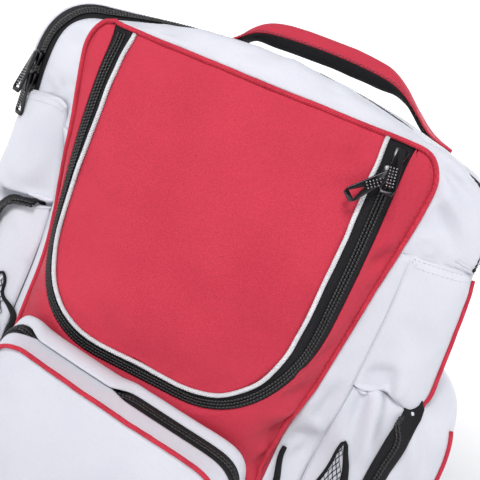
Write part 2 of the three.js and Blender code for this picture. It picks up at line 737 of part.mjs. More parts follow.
// Zip tape on each lower side pocket, up its front and over towards the front strip: grid rows and columns.
const tapeTable = [
  { inRow: 2, inColumn: 2, row: 2, column: 2.5, outRow: 2, outColumn: 3 },
  { inRow: 3, inColumn: 2, row: 3, column: 2.5, outRow: 3, outColumn: 3 },
  { inRow: 4, inColumn: 2, row: 4, column: 2.5, outRow: 4, outColumn: 3 },
  { inRow: 5, inColumn: 2, row: 5, column: 2.5, outRow: 5, outColumn: 3 },
  { inRow: 6, inColumn: 2.05, row: 6, column: 2.6, outRow: 6, outColumn: 3.15 },
  { inRow: 7, inColumn: 2.1, row: 7, column: 2.7, outRow: 7, outColumn: 3.3 },
  { inRow: 8, inColumn: 2.15, row: 8, column: 2.75, outRow: 8, outColumn: 3.35 },
];
// The left zip lies nearer the front and turns over the pocket's top.
const leftIn = 1;
const turnTable = [
  { inRow: 7.3, inColumn: 1.15, row: 7.6, column: 1.65, outRow: 8, outColumn: 2.15 },
  { inRow: 7.5, inColumn: 1.05, row: 8, column: 1.35, outRow: 8.5, outColumn: 1.7 },
  { inRow: 7.6, inColumn: 0.85, row: 8, column: 1, outRow: 8.8, outColumn: 1.15 },
  { inRow: 7.6, inColumn: 0.6, row: 8, column: 0.65, outRow: 8.8, outColumn: 0.7 },
  { inRow: 7.6, inColumn: 0.38, row: 8.1, column: 0.38, outRow: 8.8, outColumn: 0.38 },
];
const nearer = (t) => ({
  ...t,
  inColumn: t.inColumn - leftIn,
  column: t.column - leftIn,
  outColumn: t.outColumn - leftIn,
});
const tapes = { left: [...tapeTable.slice(0, 6).map(nearer), ...turnTable], right: tapeTable };
const sliderColumn = { left: 2.5 - leftIn, right: 2.5 };
const tapeLift = 2.2;
const turnLift = 6.6; // over the pocket's rounded top
function liftedPoint(rows, row, column, lift) {
  const at = (j, i) => seamNormals.get(keyOf(rows[j][i])).clone().normalize();
  const normals = rows.map((line, j) => line.map((p, i) => at(j, i)));
  return gridPoint(rows, row, column).addScaledVector(gridPoint(normals, row, column).normalize(), lift);
}
// Point of a grid's column at a height.
function columnAt(rows, column, z) {
  let j = 2;
  while (j < 6 && rows[j + 1][column].z < z) j += 1;
  const [p, q] = [rows[j][column], rows[j + 1][column]];
  return between(p, q, (z - p.z) / (q.z - p.z));
}

// Mesh pocket between the front strip and the lower side pocket: place, height and slack of its mouth.
const netTable = [
  { across: 0.32, top: 212, slack: 0.3 },
  { across: 0.52, top: 172, slack: 2.2 },
  { across: 0.95, top: 190, slack: 2.4 },
  { across: 1.42, top: 238, slack: 1.2 },
  { across: 1.66, top: 206, slack: 1 },
  { across: 1.85, top: 168, slack: 0.3 },
];
const netShares = [0, 0.35, 0.7, 1];
const netFoot = 26;
for (const { side, sign } of sides) {
  const rows = lowerGrids[side];
  const shown = tapes[side];
  const liftOf = (t) => (t.row > 6 ? turnLift : tapeLift);
  const tape = [
    shown.map((t) => liftedPoint(rows, t.inRow, t.inColumn, liftOf(t))),
    shown.map((t) => liftedPoint(rows, t.row, t.column, liftOf(t))),
    shown.map((t) => liftedPoint(rows, t.outRow, t.outColumn, liftOf(t))),
  ];
  addSheet(`lower_zip_${side}`, tape, 'black', { thick: tapeThick, centre: vec(sign * 150, 60, 140) });
  const net = netShares.map((share) =>
    netTable.map(({ across, top, slack }) => {
      const z = mix(netFoot, top, share);
      const seam = onPanel(seamAt(sign, z), z);
      const middle = pocketSeamAt(side, sign, z);
      const outer = columnAt(rows, 1, z);
      const p = across <= 1 ? between(seam, middle, across) : between(middle, outer, across - 1);
      const away = vec(sign * 0.4, -0.9, 0).normalize();
      return p.addScaledVector(away, netThick + 0.8 + slack * share);
    }),
  );
  addSheet(`mesh_pocket_${side}`, net, 'black', { thick: netThick });
  const mouth = net[net.length - 1].map((p) => p.clone().add(vec(sign * 0.9, -2.1, -1)));
  addCord(`mesh_binding_${side}`, mouth, 1.8, 16, 'black');
}

// Handle: red layer over black, flat at its sewn ends and rounded at the grip.
const handleCurve = new THREE.CatmullRomCurve3(handleTable.map((p) => vec(p.x, handleY, p.z)));
const handleSpots = Array.from({ length: 21 }, (_, k) => k / 20);
// Height of the bag's top at a place.
const topLines = [zipRearRow, rearRow, shoulderRow, backRow];
const topRows = topLines.map((row) => ({ y: row[0].y, row: row.slice(6, -6) }));
function topHeight(x, y) {
  const heights = topRows.map(({ row }) => {
    let i = 0;
    while (i < row.length - 2 && row[i + 1].x < x) i += 1;
    return mix(row[i].z, row[i + 1].z, (x - row[i].x) / (row[i + 1].x - row[i].x));
  });
  let k = 0;
  while (k < topRows.length - 2 && topRows[k + 1].y < y) k += 1;
  return mix(heights[k], heights[k + 1], (y - topRows[k].y) / (topRows[k + 1].y - topRows[k].y));
}
function handleLayer(sign) {
  return handleSpots.map((spot) => {
    const k = spot * (handleTable.length - 1);
    const k0 = Math.min(Math.floor(k), handleTable.length - 2);
    const grip = mix(handleTable[k0].grip, handleTable[k0 + 1].grip, k - k0);
    const p = handleCurve.getPoint(spot);
    const along = handleCurve.getTangent(spot);
    const up = vec(-along.z, 0, along.x).normalize();
    return [-1, -0.6, -0.2, 0.2, 0.6, 1].map((s) => {
      const angle = (s * Math.PI) / 2;
      const across = mix(handleHalf * s, gripDepth * Math.sin(angle), grip);
      const height = 0.3 + mix(1.7, gripHeight * Math.cos(angle), grip);
      const q = p.clone().add(vec(0, across, 0)).addScaledVector(up, sign * height);
      q.z = Math.max(q.z, topHeight(q.x, q.y) + (sign > 0 ? 4.6 : 0.7));
      return q;
    });
  });
}
addSheet('handle_top', handleLayer(1), 'red', { thick: 1.6, centre: vec(18, handleY, 300) });
addSheet('handle_lining', handleLayer(-1), 'black', { thick: 1.6, centre: vec(18, handleY, 700) });

// Shoulder straps.
for (const { side, sign } of sides) {
  const curve = new THREE.CatmullRomCurve3(strapTable.map((p) => vec(p.x, p.y, p.z)));
  const spots = Array.from({ length: 21 }, (_, k) => k / 20);
  const widths = (spot, key) => {
    const k = spot * (strapTable.length - 1);
    const k0 = Math.min(Math.floor(k), strapTable.length - 2);
    return mix(strapTable[k0][key], strapTable[k0 + 1][key], k - k0);
  };
  const rows = spots.map((spot) => {
    const p = curve.getPoint(spot);
    return [-1, -0.5, 0, 0.5, 1].map((s) => vec(sign * (p.x + s * widths(spot, 'half')), p.y, p.z));
  });
  addSheet(`shoulder_strap_${side}`, rows, 'black', {
    thick: spots.map((spot) => widths(spot, 'thick')),
    centre: vec(sign * 60, 150, 230),
  });
}
buildSheets();

// Flat base.
const outline = new THREE.Shape();
const foot = levels.length;
const baseLoop = [
  ...[-64, -32, 0, 32, 64].map((x) => onPanel(x, wallFoot)),
  bodySides.right.seam[foot],
  bodySides.right.pocketSeam[foot],
  bodySides.right.back[foot],
  bodySides.left.back[foot],
  bodySides.left.pocketSeam[foot],
  bodySides.left.seam[foot],
];
outline.setFromPoints(baseLoop.map((p) => new THREE.Vector2(p.x, p.y)));
const plate = new THREE.ExtrudeGeometry(outline, { depth: basePlate, bevelEnabled: false });
addMesh('base_panel', weld(plate), 'black');

// Zip sliders and pull tabs, drawn flat and then laid on the zip.
function lay(geometry, at, down, out) {
  const y = down.clone().normalize().negate();
  const z = out.clone().addScaledVector(y, -out.dot(y)).normalize();
  const x = y.clone().cross(z);
  const frame = new THREE.Matrix4().makeBasis(x, y, z).setPosition(at);
  return geometry.applyMatrix4(frame);
}
function outlineOf(points) {
  return new THREE.Shape(points.map(([x, y]) => new THREE.Vector2(x, y)));
}
const sliderDepth = 3.4;
const sliderShape = [
  [-2.6, -5], [2.6, -5], [3.8, -1], [4.4, 4],
  [2.2, 5], [-2.2, 5], [-4.4, 4], [-3.8, -1],
];
const tabDepth = 1.8;
const tabShape = [
  [-2.2, 1.5], [2.2, 1.5], [2.8, -5], [4.6, -26],
  [3.4, -29.5], [-3.4, -29.5], [-4.6, -26], [-2.8, -5],
];
const tabHole = [[0, -17.5], [-2.8, -26.4], [2.8, -26.4]];
function addSlider(name, at, down, out) {
  const spot = at.clone().addScaledVector(out, 0.4);
  const shape = outlineOf(sliderShape);
  const geometry = new THREE.ExtrudeGeometry(shape, { depth: sliderDepth, bevelEnabled: false });
  addMesh(name, lay(weld(geometry), spot, down, out), 'metal');
}
function addTab(name, at, down, out) {
  const spot = at.clone().addScaledVector(out, sliderDepth + 1.35);
  spot.addScaledVector(down.clone().normalize(), -2);
  const shape = outlineOf(tabShape);
  shape.holes.push(outlineOf(tabHole));
  const geometry = new THREE.ExtrudeGeometry(shape, { depth: tabDepth, bevelEnabled: false });
  addMesh(name, lay(weld(geometry), spot, down, out), 'metal');
}
const tabLean = 0.26; // a tab that hangs over the one below stands off the bag
const frontPulls = [
  { pull: 'upper', x: 95.5, z: 417.5, swing: 0.06, lean: tabLean },
  { pull: 'lower', x: 94, z: 406.5, swing: -0.8, lean: 0.14 },
];
for (const { pull, x, z, swing, lean } of frontPulls) {
  const out = panelNormal(x, z);
  const down = onPanel(x, z - 5).sub(onPanel(x, z + 5));
  const spot = onPanel(x, z, 0.3);
  addSlider(`front_slider_${pull}`, spot, down, out);
  const hang = down.clone().normalize().add(vec(swing, 0, 0));
  addTab(`front_tab_${pull}`, spot, hang.addScaledVector(out, lean), out);
}
const mainOut = vec(-0.46, -0.89, 0).normalize();
const mainUpper = vec(-160, 33, 383);
const mainLower = vec(-160, 33, 368);
addSlider('main_slider_upper', mainUpper, vec(0, 0, -1), mainOut);
addSlider('main_slider_lower', mainLower, vec(0, 0, -1), mainOut);
addTab('main_tab_upper', mainUpper, vec(0, 0, -1).addScaledVector(mainOut, tabLean), mainOut);
addTab('main_tab_lower', mainLower, vec(0, 0, -1), mainOut);
for (const { side, sign } of sides) {
  const rows = lowerGrids[side];
  const out = vec(sign * 0.5, -0.86, 0).normalize();
  const at = liftedPoint(rows, 3.2, sliderColumn[side], tapeLift + 0.2);
  addSlider(`side_slider_${side}`, at, vec(0, 0, -1), out);
}
const pocketZipSpot = between(rings[2][rimCount - 6], rings[3][rimCount - 6], 0.5);
addSlider('pocket_slider', pocketZipSpot.addScaledVector(vec(-1, 0, 0), 0.3), vec(0, 0, -1), vec(-1, 0, 0));

// Stand the bag on z = 0, centred on its bounding box.
const box = new THREE.Box3().setFromObject(group);
const shift = box.getCenter(vec(0, 0, 0)).negate();
shift.z = -box.min.z;
group.children.forEach((mesh) => mesh.geometry.translate(shift.x, shift.y, shift.z));

export default group;
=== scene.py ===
import math
import bmesh
import bpy
from mathutils import Matrix, Vector, kdtree, noise
from mathutils.bvhtree import BVHTree


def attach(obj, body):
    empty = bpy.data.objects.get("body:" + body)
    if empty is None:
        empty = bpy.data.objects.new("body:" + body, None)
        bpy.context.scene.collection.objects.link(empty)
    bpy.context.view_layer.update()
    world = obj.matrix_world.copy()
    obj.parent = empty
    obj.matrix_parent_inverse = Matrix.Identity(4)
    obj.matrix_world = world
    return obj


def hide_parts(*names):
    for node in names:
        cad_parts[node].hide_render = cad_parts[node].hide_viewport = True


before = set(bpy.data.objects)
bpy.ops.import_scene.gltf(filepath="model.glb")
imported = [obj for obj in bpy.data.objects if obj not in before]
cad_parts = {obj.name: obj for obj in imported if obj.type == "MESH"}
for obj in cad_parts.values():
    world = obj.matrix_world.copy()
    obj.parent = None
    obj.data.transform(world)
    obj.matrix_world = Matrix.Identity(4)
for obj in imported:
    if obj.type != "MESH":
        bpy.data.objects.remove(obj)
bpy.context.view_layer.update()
mm = 0.001
bodyCentre = (0, 0, 230)  # mm, a point inside the bag, for telling outer faces from inner ones
noiseSeed = 1
noise.seed_set(noiseSeed)  # unseeded, the cords' kinks would follow the clock and change from run to run
print("frame loaded:", len(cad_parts), "nodes")


def linear(code):
    parts = [int(code[i:i + 2], 16) / 255 for i in (1, 3, 5)]
    return [c / 12.92 if c <= 0.04045 else ((c + 0.055) / 1.055) ** 2.4 for c in parts] + [1]


def addNode(tree, kind, settings=None, links=None):
    node = tree.nodes.new(kind)
    for key, value in (settings or {}).items():
        if isinstance(key, int) or key in node.inputs:
            node.inputs[key].default_value = value
        else:
            setattr(node, key, value)
    for key, socket in (links or {}).items():
        tree.links.new(socket, node.inputs[key])
    return node


def startMaterial(name, settings):
    material = bpy.data.materials.new(name)
    material.use_nodes = True
    tree = material.node_tree
    shader = tree.nodes["Principled BSDF"]
    for key, value in settings.items():
        shader.inputs[key].default_value = value
    return material, tree, shader


weaveForm = {"grainShare": 0.65, "wornFrom": 0.55, "wornTo": 1.1, "reliefMm": 0.5, "sheenRoughness": 0.5}


# Woven cloth: threads cross over and under, so the face is matt with a fine grain and a soft edge sheen.
# Real threads are about 0.5 mm apart; they are drawn at threadMm so that they show in the render.
def wovenCloth(name, look):
    material, tree, shader = startMaterial(name, {
        "Roughness": look["roughness"], "Sheen Weight": look["sheen"], "Sheen Roughness": weaveForm["sheenRoughness"],
        "Specular IOR Level": look["gloss"], "IOR": 1.5,
    })
    place = addNode(tree, "ShaderNodeTexCoord").outputs["Object"]
    turn = 2 * math.pi / (look["threadMm"] * mm)
    waves = []
    for direction in ((turn, turn, 0), (0, 0.5 * turn, turn)):  # weft and warp
        along = addNode(tree, "ShaderNodeVectorMath", {"operation": "DOT_PRODUCT", 1: direction}, {0: place})
        waves.append(addNode(tree, "ShaderNodeMath", {"operation": "SINE"}, {0: along.outputs["Value"]}).outputs[0])
    weave = addNode(tree, "ShaderNodeMath", {"operation": "MULTIPLY"}, {0: waves[0], 1: waves[1]}).outputs[0]
    grain = addNode(tree, "ShaderNodeTexNoise", {"Scale": 1 / (look["grainMm"] * mm), "Detail": 3}, {"Vector": place})
    patch = addNode(tree, "ShaderNodeTexNoise", {"Scale": 1 / (look["patchMm"] * mm), "Detail": 2}, {"Vector": place})
    mottle = addNode(tree, "ShaderNodeMath", {"operation": "MULTIPLY_ADD", 1: weaveForm["grainShare"]},
                     {0: grain.outputs["Fac"], 2: patch.outputs["Fac"]}).outputs[0]
    worn = addNode(tree, "ShaderNodeMapRange", {
        1: weaveForm["wornFrom"], 2: weaveForm["wornTo"], 3: 0.0, 4: look["mottle"],
    }, {0: mottle}).outputs[0]
    tint = addNode(tree, "ShaderNodeMix", {"data_type": "RGBA", 6: linear(look["colour"]), 7: linear(look["shade"])},
                   {0: worn})
    tree.links.new(tint.outputs[2], shader.inputs["Base Color"])
    relief = addNode(tree, "ShaderNodeMath", {"operation": "MULTIPLY_ADD", 1: look["weave"]},
                     {0: weave, 2: grain.outputs["Fac"]}).outputs[0]
    bump = addNode(tree, "ShaderNodeBump", {"Strength": look["bump"], "Distance": weaveForm["reliefMm"] * mm},
                   {"Height": relief})
    tree.links.new(bump.outputs["Normal"], shader.inputs["Normal"])
    return material


# 600 denier polyester, piece-dyed and PU backed: matt red with a pebbly grain.
redPolyester = wovenCloth("polyesterRed", {
    "colour": "#bf3548", "shade": "#a9273b", "mottle": 0.7, "threadMm": 1.5, "grainMm": 1.6, "patchMm": 60,
    "weave": 0.35, "bump": 0.42, "roughness": 0.78, "sheen": 0.05, "gloss": 0.22,
})
# 420 denier nylon, calendered: smooth cold white with faint threads.
whiteNylon = wovenCloth("nylonWhite", {
    "colour": "#cacbd2", "shade": "#bfc1cb", "mottle": 0.7, "threadMm": 1.5, "grainMm": 1.8, "patchMm": 60,
    "weave": 0.25, "bump": 0.12, "roughness": 0.62, "sheen": 0.05, "gloss": 0.28,
})
# Woven polypropylene and padded polyester: near black, dull, with a visible rib.
blackPolyester = wovenCloth("polyesterBlack", {
    "colour": "#1a1a1c", "shade": "#121214", "mottle": 0.8, "threadMm": 1.6, "grainMm": 2.0, "patchMm": 30,
    "weave": 0.6, "bump": 0.5, "roughness": 0.8, "sheen": 0.03, "gloss": 0.2,
})
# Knitted polyester zip tape: black with a violet cast and close ribs along the tape.
zipTape = wovenCloth("zipTapePolyester", {
    "colour": "#1c1a1d", "shade": "#131114", "mottle": 0.7, "threadMm": 1.3, "grainMm": 1.6, "patchMm": 20,
    "weave": 0.8, "bump": 0.5, "roughness": 0.7, "sheen": 0.02, "gloss": 0.22,
})
# Cloth-covered cord: the same cloth pulled tight over a core, so its grain is finer.
tightCover = {"mottle": 0.9, "threadMm": 1.9, "grainMm": 1.3, "patchMm": 14, "weave": 1.0, "bump": 0.6,
              "sheen": 0.05, "gloss": 0.3}
redPiping = wovenCloth("pipingRed", {**tightCover, "colour": "#cb3146", "shade": "#b02238", "roughness": 0.72})
whitePiping = wovenCloth("pipingWhite", {**tightCover, "colour": "#d9dadc", "shade": "#bfc1c6", "roughness": 0.65})
# Polyester sewing thread: a tight shiny twist.
threads = {
    key: wovenCloth("thread" + key.capitalize(), {
        "colour": code, "shade": shade, "mottle": 0.5, "threadMm": 0.9, "grainMm": 1.0, "patchMm": 8,
        "weave": 0.5, "bump": 0.2, "roughness": 0.5, "sheen": 0.1, "gloss": 0.4,
    })
    for key, code, shade in (
        ("white", "#c6c8d0", "#bbbec8"), ("red", "#b92a3d", "#9a1f30"), ("black", "#38363a", "#242326"),
    )
}
# Nylon zip coil: smooth monofilament, so each turn has its own glint.
zipCoil = wovenCloth("zipCoilNylon", {
    "colour": "#171618", "shade": "#0f0e10", "mottle": 0.6, "threadMm": 2.0, "grainMm": 1.2, "patchMm": 8,
    "weave": 0.2, "bump": 0.1, "roughness": 0.36, "sheen": 0.0, "gloss": 0.45,
})


edgeHighlightRamp = {"from": 0.54, "to": 0.64, "share": 0.45}  # pointiness where the painted edge highlight starts, and where it is full
gritForm = {"bump": 0.15, "reliefMm": 0.2}


# Zinc alloy, cast and tumbled: a fine grit, and a painted highlight where the metal is drawn lighter along the sharp
# edges.
def tumbledZinc(name, look):
    material, tree, shader = startMaterial(name, {"Metallic": 1.0})
    place = addNode(tree, "ShaderNodeTexCoord").outputs["Object"]
    grit = addNode(tree, "ShaderNodeTexNoise", {"Scale": 1 / (look["gritMm"] * mm), "Detail": 4}, {"Vector": place})
    edge = addNode(tree, "ShaderNodeNewGeometry").outputs["Pointiness"]
    # sharp edges are drawn in a lighter metal: a painted highlight along the edges
    edgeHighlight = addNode(tree, "ShaderNodeMapRange", {
        1: edgeHighlightRamp["from"], 2: edgeHighlightRamp["to"], 3: 0.0, 4: edgeHighlightRamp["share"],
    }, {0: edge}).outputs[0]
    tint = addNode(tree, "ShaderNodeMix", {"data_type": "RGBA", 6: linear(look["colour"]), 7: linear(look["edgeHighlight"])},
                   {0: edgeHighlight})
    tree.links.new(tint.outputs[2], shader.inputs["Base Color"])
    rough = addNode(tree, "ShaderNodeMapRange", {3: look["roughness"][0], 4: look["roughness"][1]},
                    {0: grit.outputs["Fac"]})
    tree.links.new(rough.outputs[0], shader.inputs["Roughness"])
    bump = addNode(tree, "ShaderNodeBump", {"Strength": gritForm["bump"], "Distance": gritForm["reliefMm"] * mm},
                   {"Height": grit.outputs["Fac"]})
    tree.links.new(bump.outputs["Normal"], shader.inputs["Normal"])
    return material


# Lacquered black, with a painted highlight in light grey along the edges.
blackZinc = tumbledZinc("zincBlack", {"colour": "#29282a", "edgeHighlight": "#b4b2b3", "gritMm": 1.2, "roughness": (0.18, 0.3)})
# The same alloy drawn light for the grip dots: a painted highlight on each dot, lighter still on its edges.
dotHighlightZinc = tumbledZinc("zincDotHighlight", {"colour": "#908e8f", "edgeHighlight": "#b0aeaf", "gritMm": 1.0, "roughness": (0.25, 0.4)})
print("materials made:", len(bpy.data.materials))


nodeRead = {
    "weldMm": 0.004,  # a node's triangles are loose, and its real points lie further apart
    "everyAngle": 3.1,  # radians, joins any two triangles
    "sameSide": 0.3,  # cosine to the way that a plate looks
    "neighbours": 6, "acrossShare": 0.5,  # a partner across the wall, not along it
}


def nodeShape(name):
    bm = bmesh.new()
    bm.from_mesh(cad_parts[name].data)
    bmesh.ops.remove_doubles(bm, verts=bm.verts, dist=nodeRead["weldMm"] * mm)
    return bm


def joinTriangles(bm, bend=nodeRead["everyAngle"]):
    bmesh.ops.join_triangles(bm, faces=bm.faces, angle_face_threshold=bend,
                             angle_shape_threshold=nodeRead["everyAngle"])


def pointTree(points):
    tree = kdtree.KDTree(len(points))
    for key, place in points:
        tree.insert(place, key)
    tree.balance()
    return tree


# The outer face of a cloth node: the rim that joins it to the inner face is taken off, then the inner face.
def outerFace(name, centre=bodyCentre, facing=None, strict=False):
    bm = nodeShape(name)
    if facing:  # a plate is told by the way its faces look
        away = [f for f in bm.faces if f.normal.dot(Vector(facing)) < nodeRead["sameSide"]]
        bmesh.ops.delete(bm, geom=away, context="FACES")
        joinTriangles(bm)
        return bm
    bm.verts.index_update()
    tree = pointTree([(v.index, v.co) for v in bm.verts])
    partner = {v.index: tree.find_n(v.co, 2)[1][1] for v in bm.verts}
    if strict:  # the partner has to lie across the wall, for cloth with points closer than it is thick
        bm.normal_update()
        for v in bm.verts:
            found = tree.find_n(v.co, nodeRead["neighbours"])[1:]
            across = [k for at, k, away in found
                      if abs((at - v.co).dot(v.normal)) > nodeRead["acrossShare"] * away]
            partner[v.index] = across[0] if across else found[0][1]
    rim = [f for f in bm.faces if any(partner[v.index] in [u.index for u in f.verts] for v in f.verts)]
    bmesh.ops.delete(bm, geom=rim, context="FACES")
    middle = Vector(centre) * mm
    left = set(bm.faces)
    sides = []
    while left:
        group, reach = set(), [left.pop()]
        while reach:
            f = reach.pop()
            group.add(f)
            for e in f.edges:
                for other in e.link_faces:
                    if other in left:
                        left.discard(other)
                        reach.append(other)
        outward = sum(f.calc_area() * f.normal.dot(f.calc_center_median() - middle) for f in group)
        sides.append((outward, group))
    sides.sort(key=lambda s: -s[0])
    if len(sides) != 2:
        print("outer face of", name, "found in", len(sides), "pieces")
    bmesh.ops.delete(bm, geom=[f for s in sides[1:] for f in s[1]], context="FACES")
    loose = [v for v in bm.verts if not v.link_faces]
    bmesh.ops.delete(bm, geom=loose, context="VERTS")
    joinTriangles(bm)
    return bm


def objectFrom(bm, name):
    mesh = bpy.data.meshes.new(name)
    bm.to_mesh(mesh)
    bm.free()
    obj = bpy.data.objects.new(name, mesh)
    bpy.context.scene.collection.objects.link(obj)
    return obj


def applyAll(obj):
    graph = bpy.context.evaluated_depsgraph_get()
    mesh = bpy.data.meshes.new_from_object(obj.evaluated_get(graph))
    obj.modifiers.clear()
    obj.data = mesh


def refine(obj, levels):
    mod = obj.modifiers.new("smooth", "SUBSURF")
    mod.levels = mod.render_levels = levels
    mod.boundary_smooth = "PRESERVE_CORNERS"
    applyAll(obj)


def seamPoints(mesh):
    bm = bmesh.new()
    bm.from_mesh(mesh)
    rim = [v.index for v in bm.verts if v.is_boundary]
    bm.free()
    return pointTree([(k, mesh.vertices[k].co) for k in rim])


clothRun = {"steps": 20, "quality": 5, "massKg": 0.15, "onSeamMm": 0.01}


# Cloth simulation: the piece is held at its seams and filled out by a light pressure.
def fillOut(obj, settle):
    seams = seamPoints(obj.data)
    rest = [v.co.copy() for v in obj.data.vertices]
    group = obj.vertex_groups.new(name="seams")
    for k, point in enumerate(rest):
        away = seams.find(point)[2] / mm
        held = max(0.0, 1 - away / settle["holdMm"]) if away > clothRun["onSeamMm"] else 1.0
        group.add([k], held, "REPLACE")
    mod = obj.modifiers.new("cloth", "CLOTH")
    mod.settings.quality = clothRun["quality"]
    mod.settings.mass = clothRun["massKg"]
    mod.settings.tension_stiffness = mod.settings.compression_stiffness = settle["stretch"]
    mod.settings.shear_stiffness = settle["stretch"] / 2
    mod.settings.bending_stiffness = settle["bend"]
    mod.settings.vertex_group_mass = "seams"
    mod.settings.use_pressure = True
    mod.settings.uniform_pressure_force = settle["pressure"]
    mod.settings.shrink_min = -settle["slack"]
    mod.settings.effector_weights.gravity = 0
    mod.collision_settings.use_collision = False
    for step in range(1, clothRun["steps"] + 1):
        bpy.context.scene.frame_set(step)
    applyAll(obj)
    most = settle["capMm"] * mm
    for v, was in zip(obj.data.vertices, rest):
        move = v.co - was
        if move.length > most:
            v.co = was + move * (most / move.length)
    bpy.context.scene.frame_set(1)
    obj.vertex_groups.clear()


# A line along which the cloth is pushed in or out, in mm.
def fold(start, end, width, depth):
    return Vector(start) * mm, Vector(end) * mm, width * mm, depth * mm


creaseForm = {"ridge": 0.35, "gain": 1.6, "puckerReachMm": 12, "taper": 0.12, "seedStep": (7.3, 3.1, 5.7)}


# Folds and creases, moved along the cloth's own normal and faded out at the seams.
def crease(obj, folds):
    mesh = obj.data
    seams = seamPoints(mesh)
    shift = Vector([folds["seed"] * c for c in creaseForm["seedStep"]])
    taper = creaseForm["taper"]
    normals = [v.normal.copy() for v in mesh.vertices]
    for v, normal in zip(mesh.vertices, normals):
        at, _, away = seams.find(v.co)
        hem = 1 - math.exp(-(away / (folds["hemMm"] * mm)) ** 2)
        rise = folds["waveMm"] * noise.noise(v.co / (folds["waveSizeMm"] * mm) + shift)
        ridge = creaseForm["ridge"] - abs(noise.noise(v.co / (folds["creaseSizeMm"] * mm) - shift))
        rise += folds["creaseMm"] * ridge * creaseForm["gain"]
        pucker = noise.noise(at / (folds["puckerSizeMm"] * mm) + shift)
        fade = math.exp(-away / (creaseForm["puckerReachMm"] * mm))
        move = (rise + folds["puckerMm"] * pucker * fade) * hem * mm
        for start, end, width, depth in folds.get("lines", []):
            along = end - start
            t = max(0.0, min(1.0, (v.co - start).dot(along) / along.length_squared))
            off = (v.co - start - along * t).length
            ends = math.sin(math.pi * (taper + (1 - 2 * taper) * t))
            move += depth * math.exp(-(off / width) ** 2) * ends * hem
        v.co += normal * move
    mesh.update()


# Sewn edges meet: each rim is let out a little along the cloth, and a tape is tucked under its neighbours.
def letOut(shape, far, tuck):
    moves = []
    for v in shape.verts:
        if v.is_boundary:
            into = sum((f.calc_center_median() - v.co for f in v.link_faces), Vector())
            into -= v.normal * into.dot(v.normal)
            moves.append((v, into.normalized() * far * mm + v.normal * tuck * mm))
    for v, move in moves:
        v.co -= move


# A stretch of an edge that has rolled over its neighbour.
def rollEdge(shape, roll):
    begin, end = roll["span"]
    for v in shape.verts:
        p = v.co / mm
        t = (p.x - begin) / (end - begin)
        ease = max(0.0, min(1.0, min(t, 1 - t) * roll["ease"]))
        if p.z > roll["aboveMm"] and ease > 0:
            ease = ease * ease * (3 - 2 * ease)
            near = math.exp(-((p.y - roll["edgeY"]) / roll["reachMm"]) ** 2)
            v.co += Vector(roll["move"]) * mm * ease * near


# A spot and where it is drawn to, in mm.
def pull(at, move, reach):
    return Vector(at) * mm, Vector(move) * mm, reach * mm


def drawn(point, pulls):
    for spot, move, reach in pulls:
        point = point + move * math.exp(-((point - spot).length / reach) ** 2)
    return point


# Dents and droops: the cloth round a spot is drawn along with it.
def drawCloth(shape, pulls):
    for v in shape.verts:
        v.co = drawn(v.co, pulls)


def dress(obj, material, slotName, *nodes):
    obj.data.materials.clear()
    obj.data.materials.append(material)
    obj.data.polygons.foreach_set("use_smooth", [True] * len(obj.data.polygons))
    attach(obj, "root")
    if nodes:
        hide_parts(*nodes)
    return obj


def thicken(obj, thick):
    mod = obj.modifiers.new("thickness", "SOLIDIFY")
    mod.thickness = thick * mm
    mod.offset = -1


surfaces = {}  # the finished outer face of each cloth, for what lies on it
besideMm = 12  # further off, a carrier is out of reach


def surfaceOf(node):
    return BVHTree.FromBMesh(surfaces[node])


# Keeps a piece that lies on another at least lift above it.
def lieOn(verts, carrier, lift):
    tree = surfaceOf(carrier)
    for v in verts:
        at, normal, _, away = tree.find_nearest(v.co)
        if away < besideMm * mm and (v.co - at).dot(normal) < lift * mm:
            v.co = at + normal * lift * mm


# A place on the nearest of several cloths, or the place itself if all are out of reach.
def laidOn(place, carriers, reach, lift):
    at, normal, _, away = min((c.find_nearest(place) for c in carriers), key=lambda found: found[3])
    return at + normal * lift * mm if away < reach * mm else place


perSpan = 12  # short chords between two points of a path
hair = 1e-9  # metres, so that rounding loses no step


# A smooth curve through the points, cut into equal steps.
def smoothPath(points, step):
    fine = []
    for k in range(len(points) - 1):
        a, b, c, d = (points[max(0, min(len(points) - 1, k + o))] for o in (-1, 0, 1, 2))
        for i in range(perSpan):
            t = i / perSpan
            fine.append(0.5 * (2 * b + (c - a) * t + (2 * a - 5 * b + 4 * c - d) * t * t
                               + (3 * b - a - 3 * c + d) * t ** 3))
    fine.append(points[-1])
    length = sum((q - p).length for p, q in zip(fine, fine[1:]))
    count = max(2, round(length / (step * mm)))
    out, walked, goal = [fine[0]], 0.0, length / count
    for p, q in zip(fine, fine[1:]):
        run = (q - p).length
        while run > 0 and walked + run >= goal * len(out) - hair and len(out) <= count:
            out.append(p.lerp(q, min(1.0, (goal * len(out) - walked) / run)))
        walked += run
    return out


# A line along a zip tape, at a share of its width from the edge that lies nearest to a place.
def tapeLine(node, centre, near, share):
    bm = outerFace(node, centre)
    rim = [e for e in bm.edges if e.is_boundary]
    corners = [v for v in bm.verts if v.is_boundary and len(v.link_edges) == 2]
    chains = []
    while rim:
        edge = rim.pop()
        chain = [edge.verts[0], edge.verts[1]]
        grown = True
        while grown:
            grown = False
            for at in (0, -1):
                v = chain[at]
                step = next((e for e in v.link_edges if e in rim), None) if v not in corners else None
                if step:
                    rim.remove(step)
                    chain.insert(0 if at == 0 else len(chain), step.other_vert(v))
                    grown = True
        chains.append([v.co.copy() for v in chain])
    chains.sort(key=lambda c: -sum((q - p).length for p, q in zip(c, c[1:])))
    pair = sorted(chains[:2], key=lambda c: min((p - Vector(near) * mm).length for p in c))
    bm.free()
    return [p.lerp(min(pair[1], key=lambda q: (q - p).length), share) for p in pair[0]]


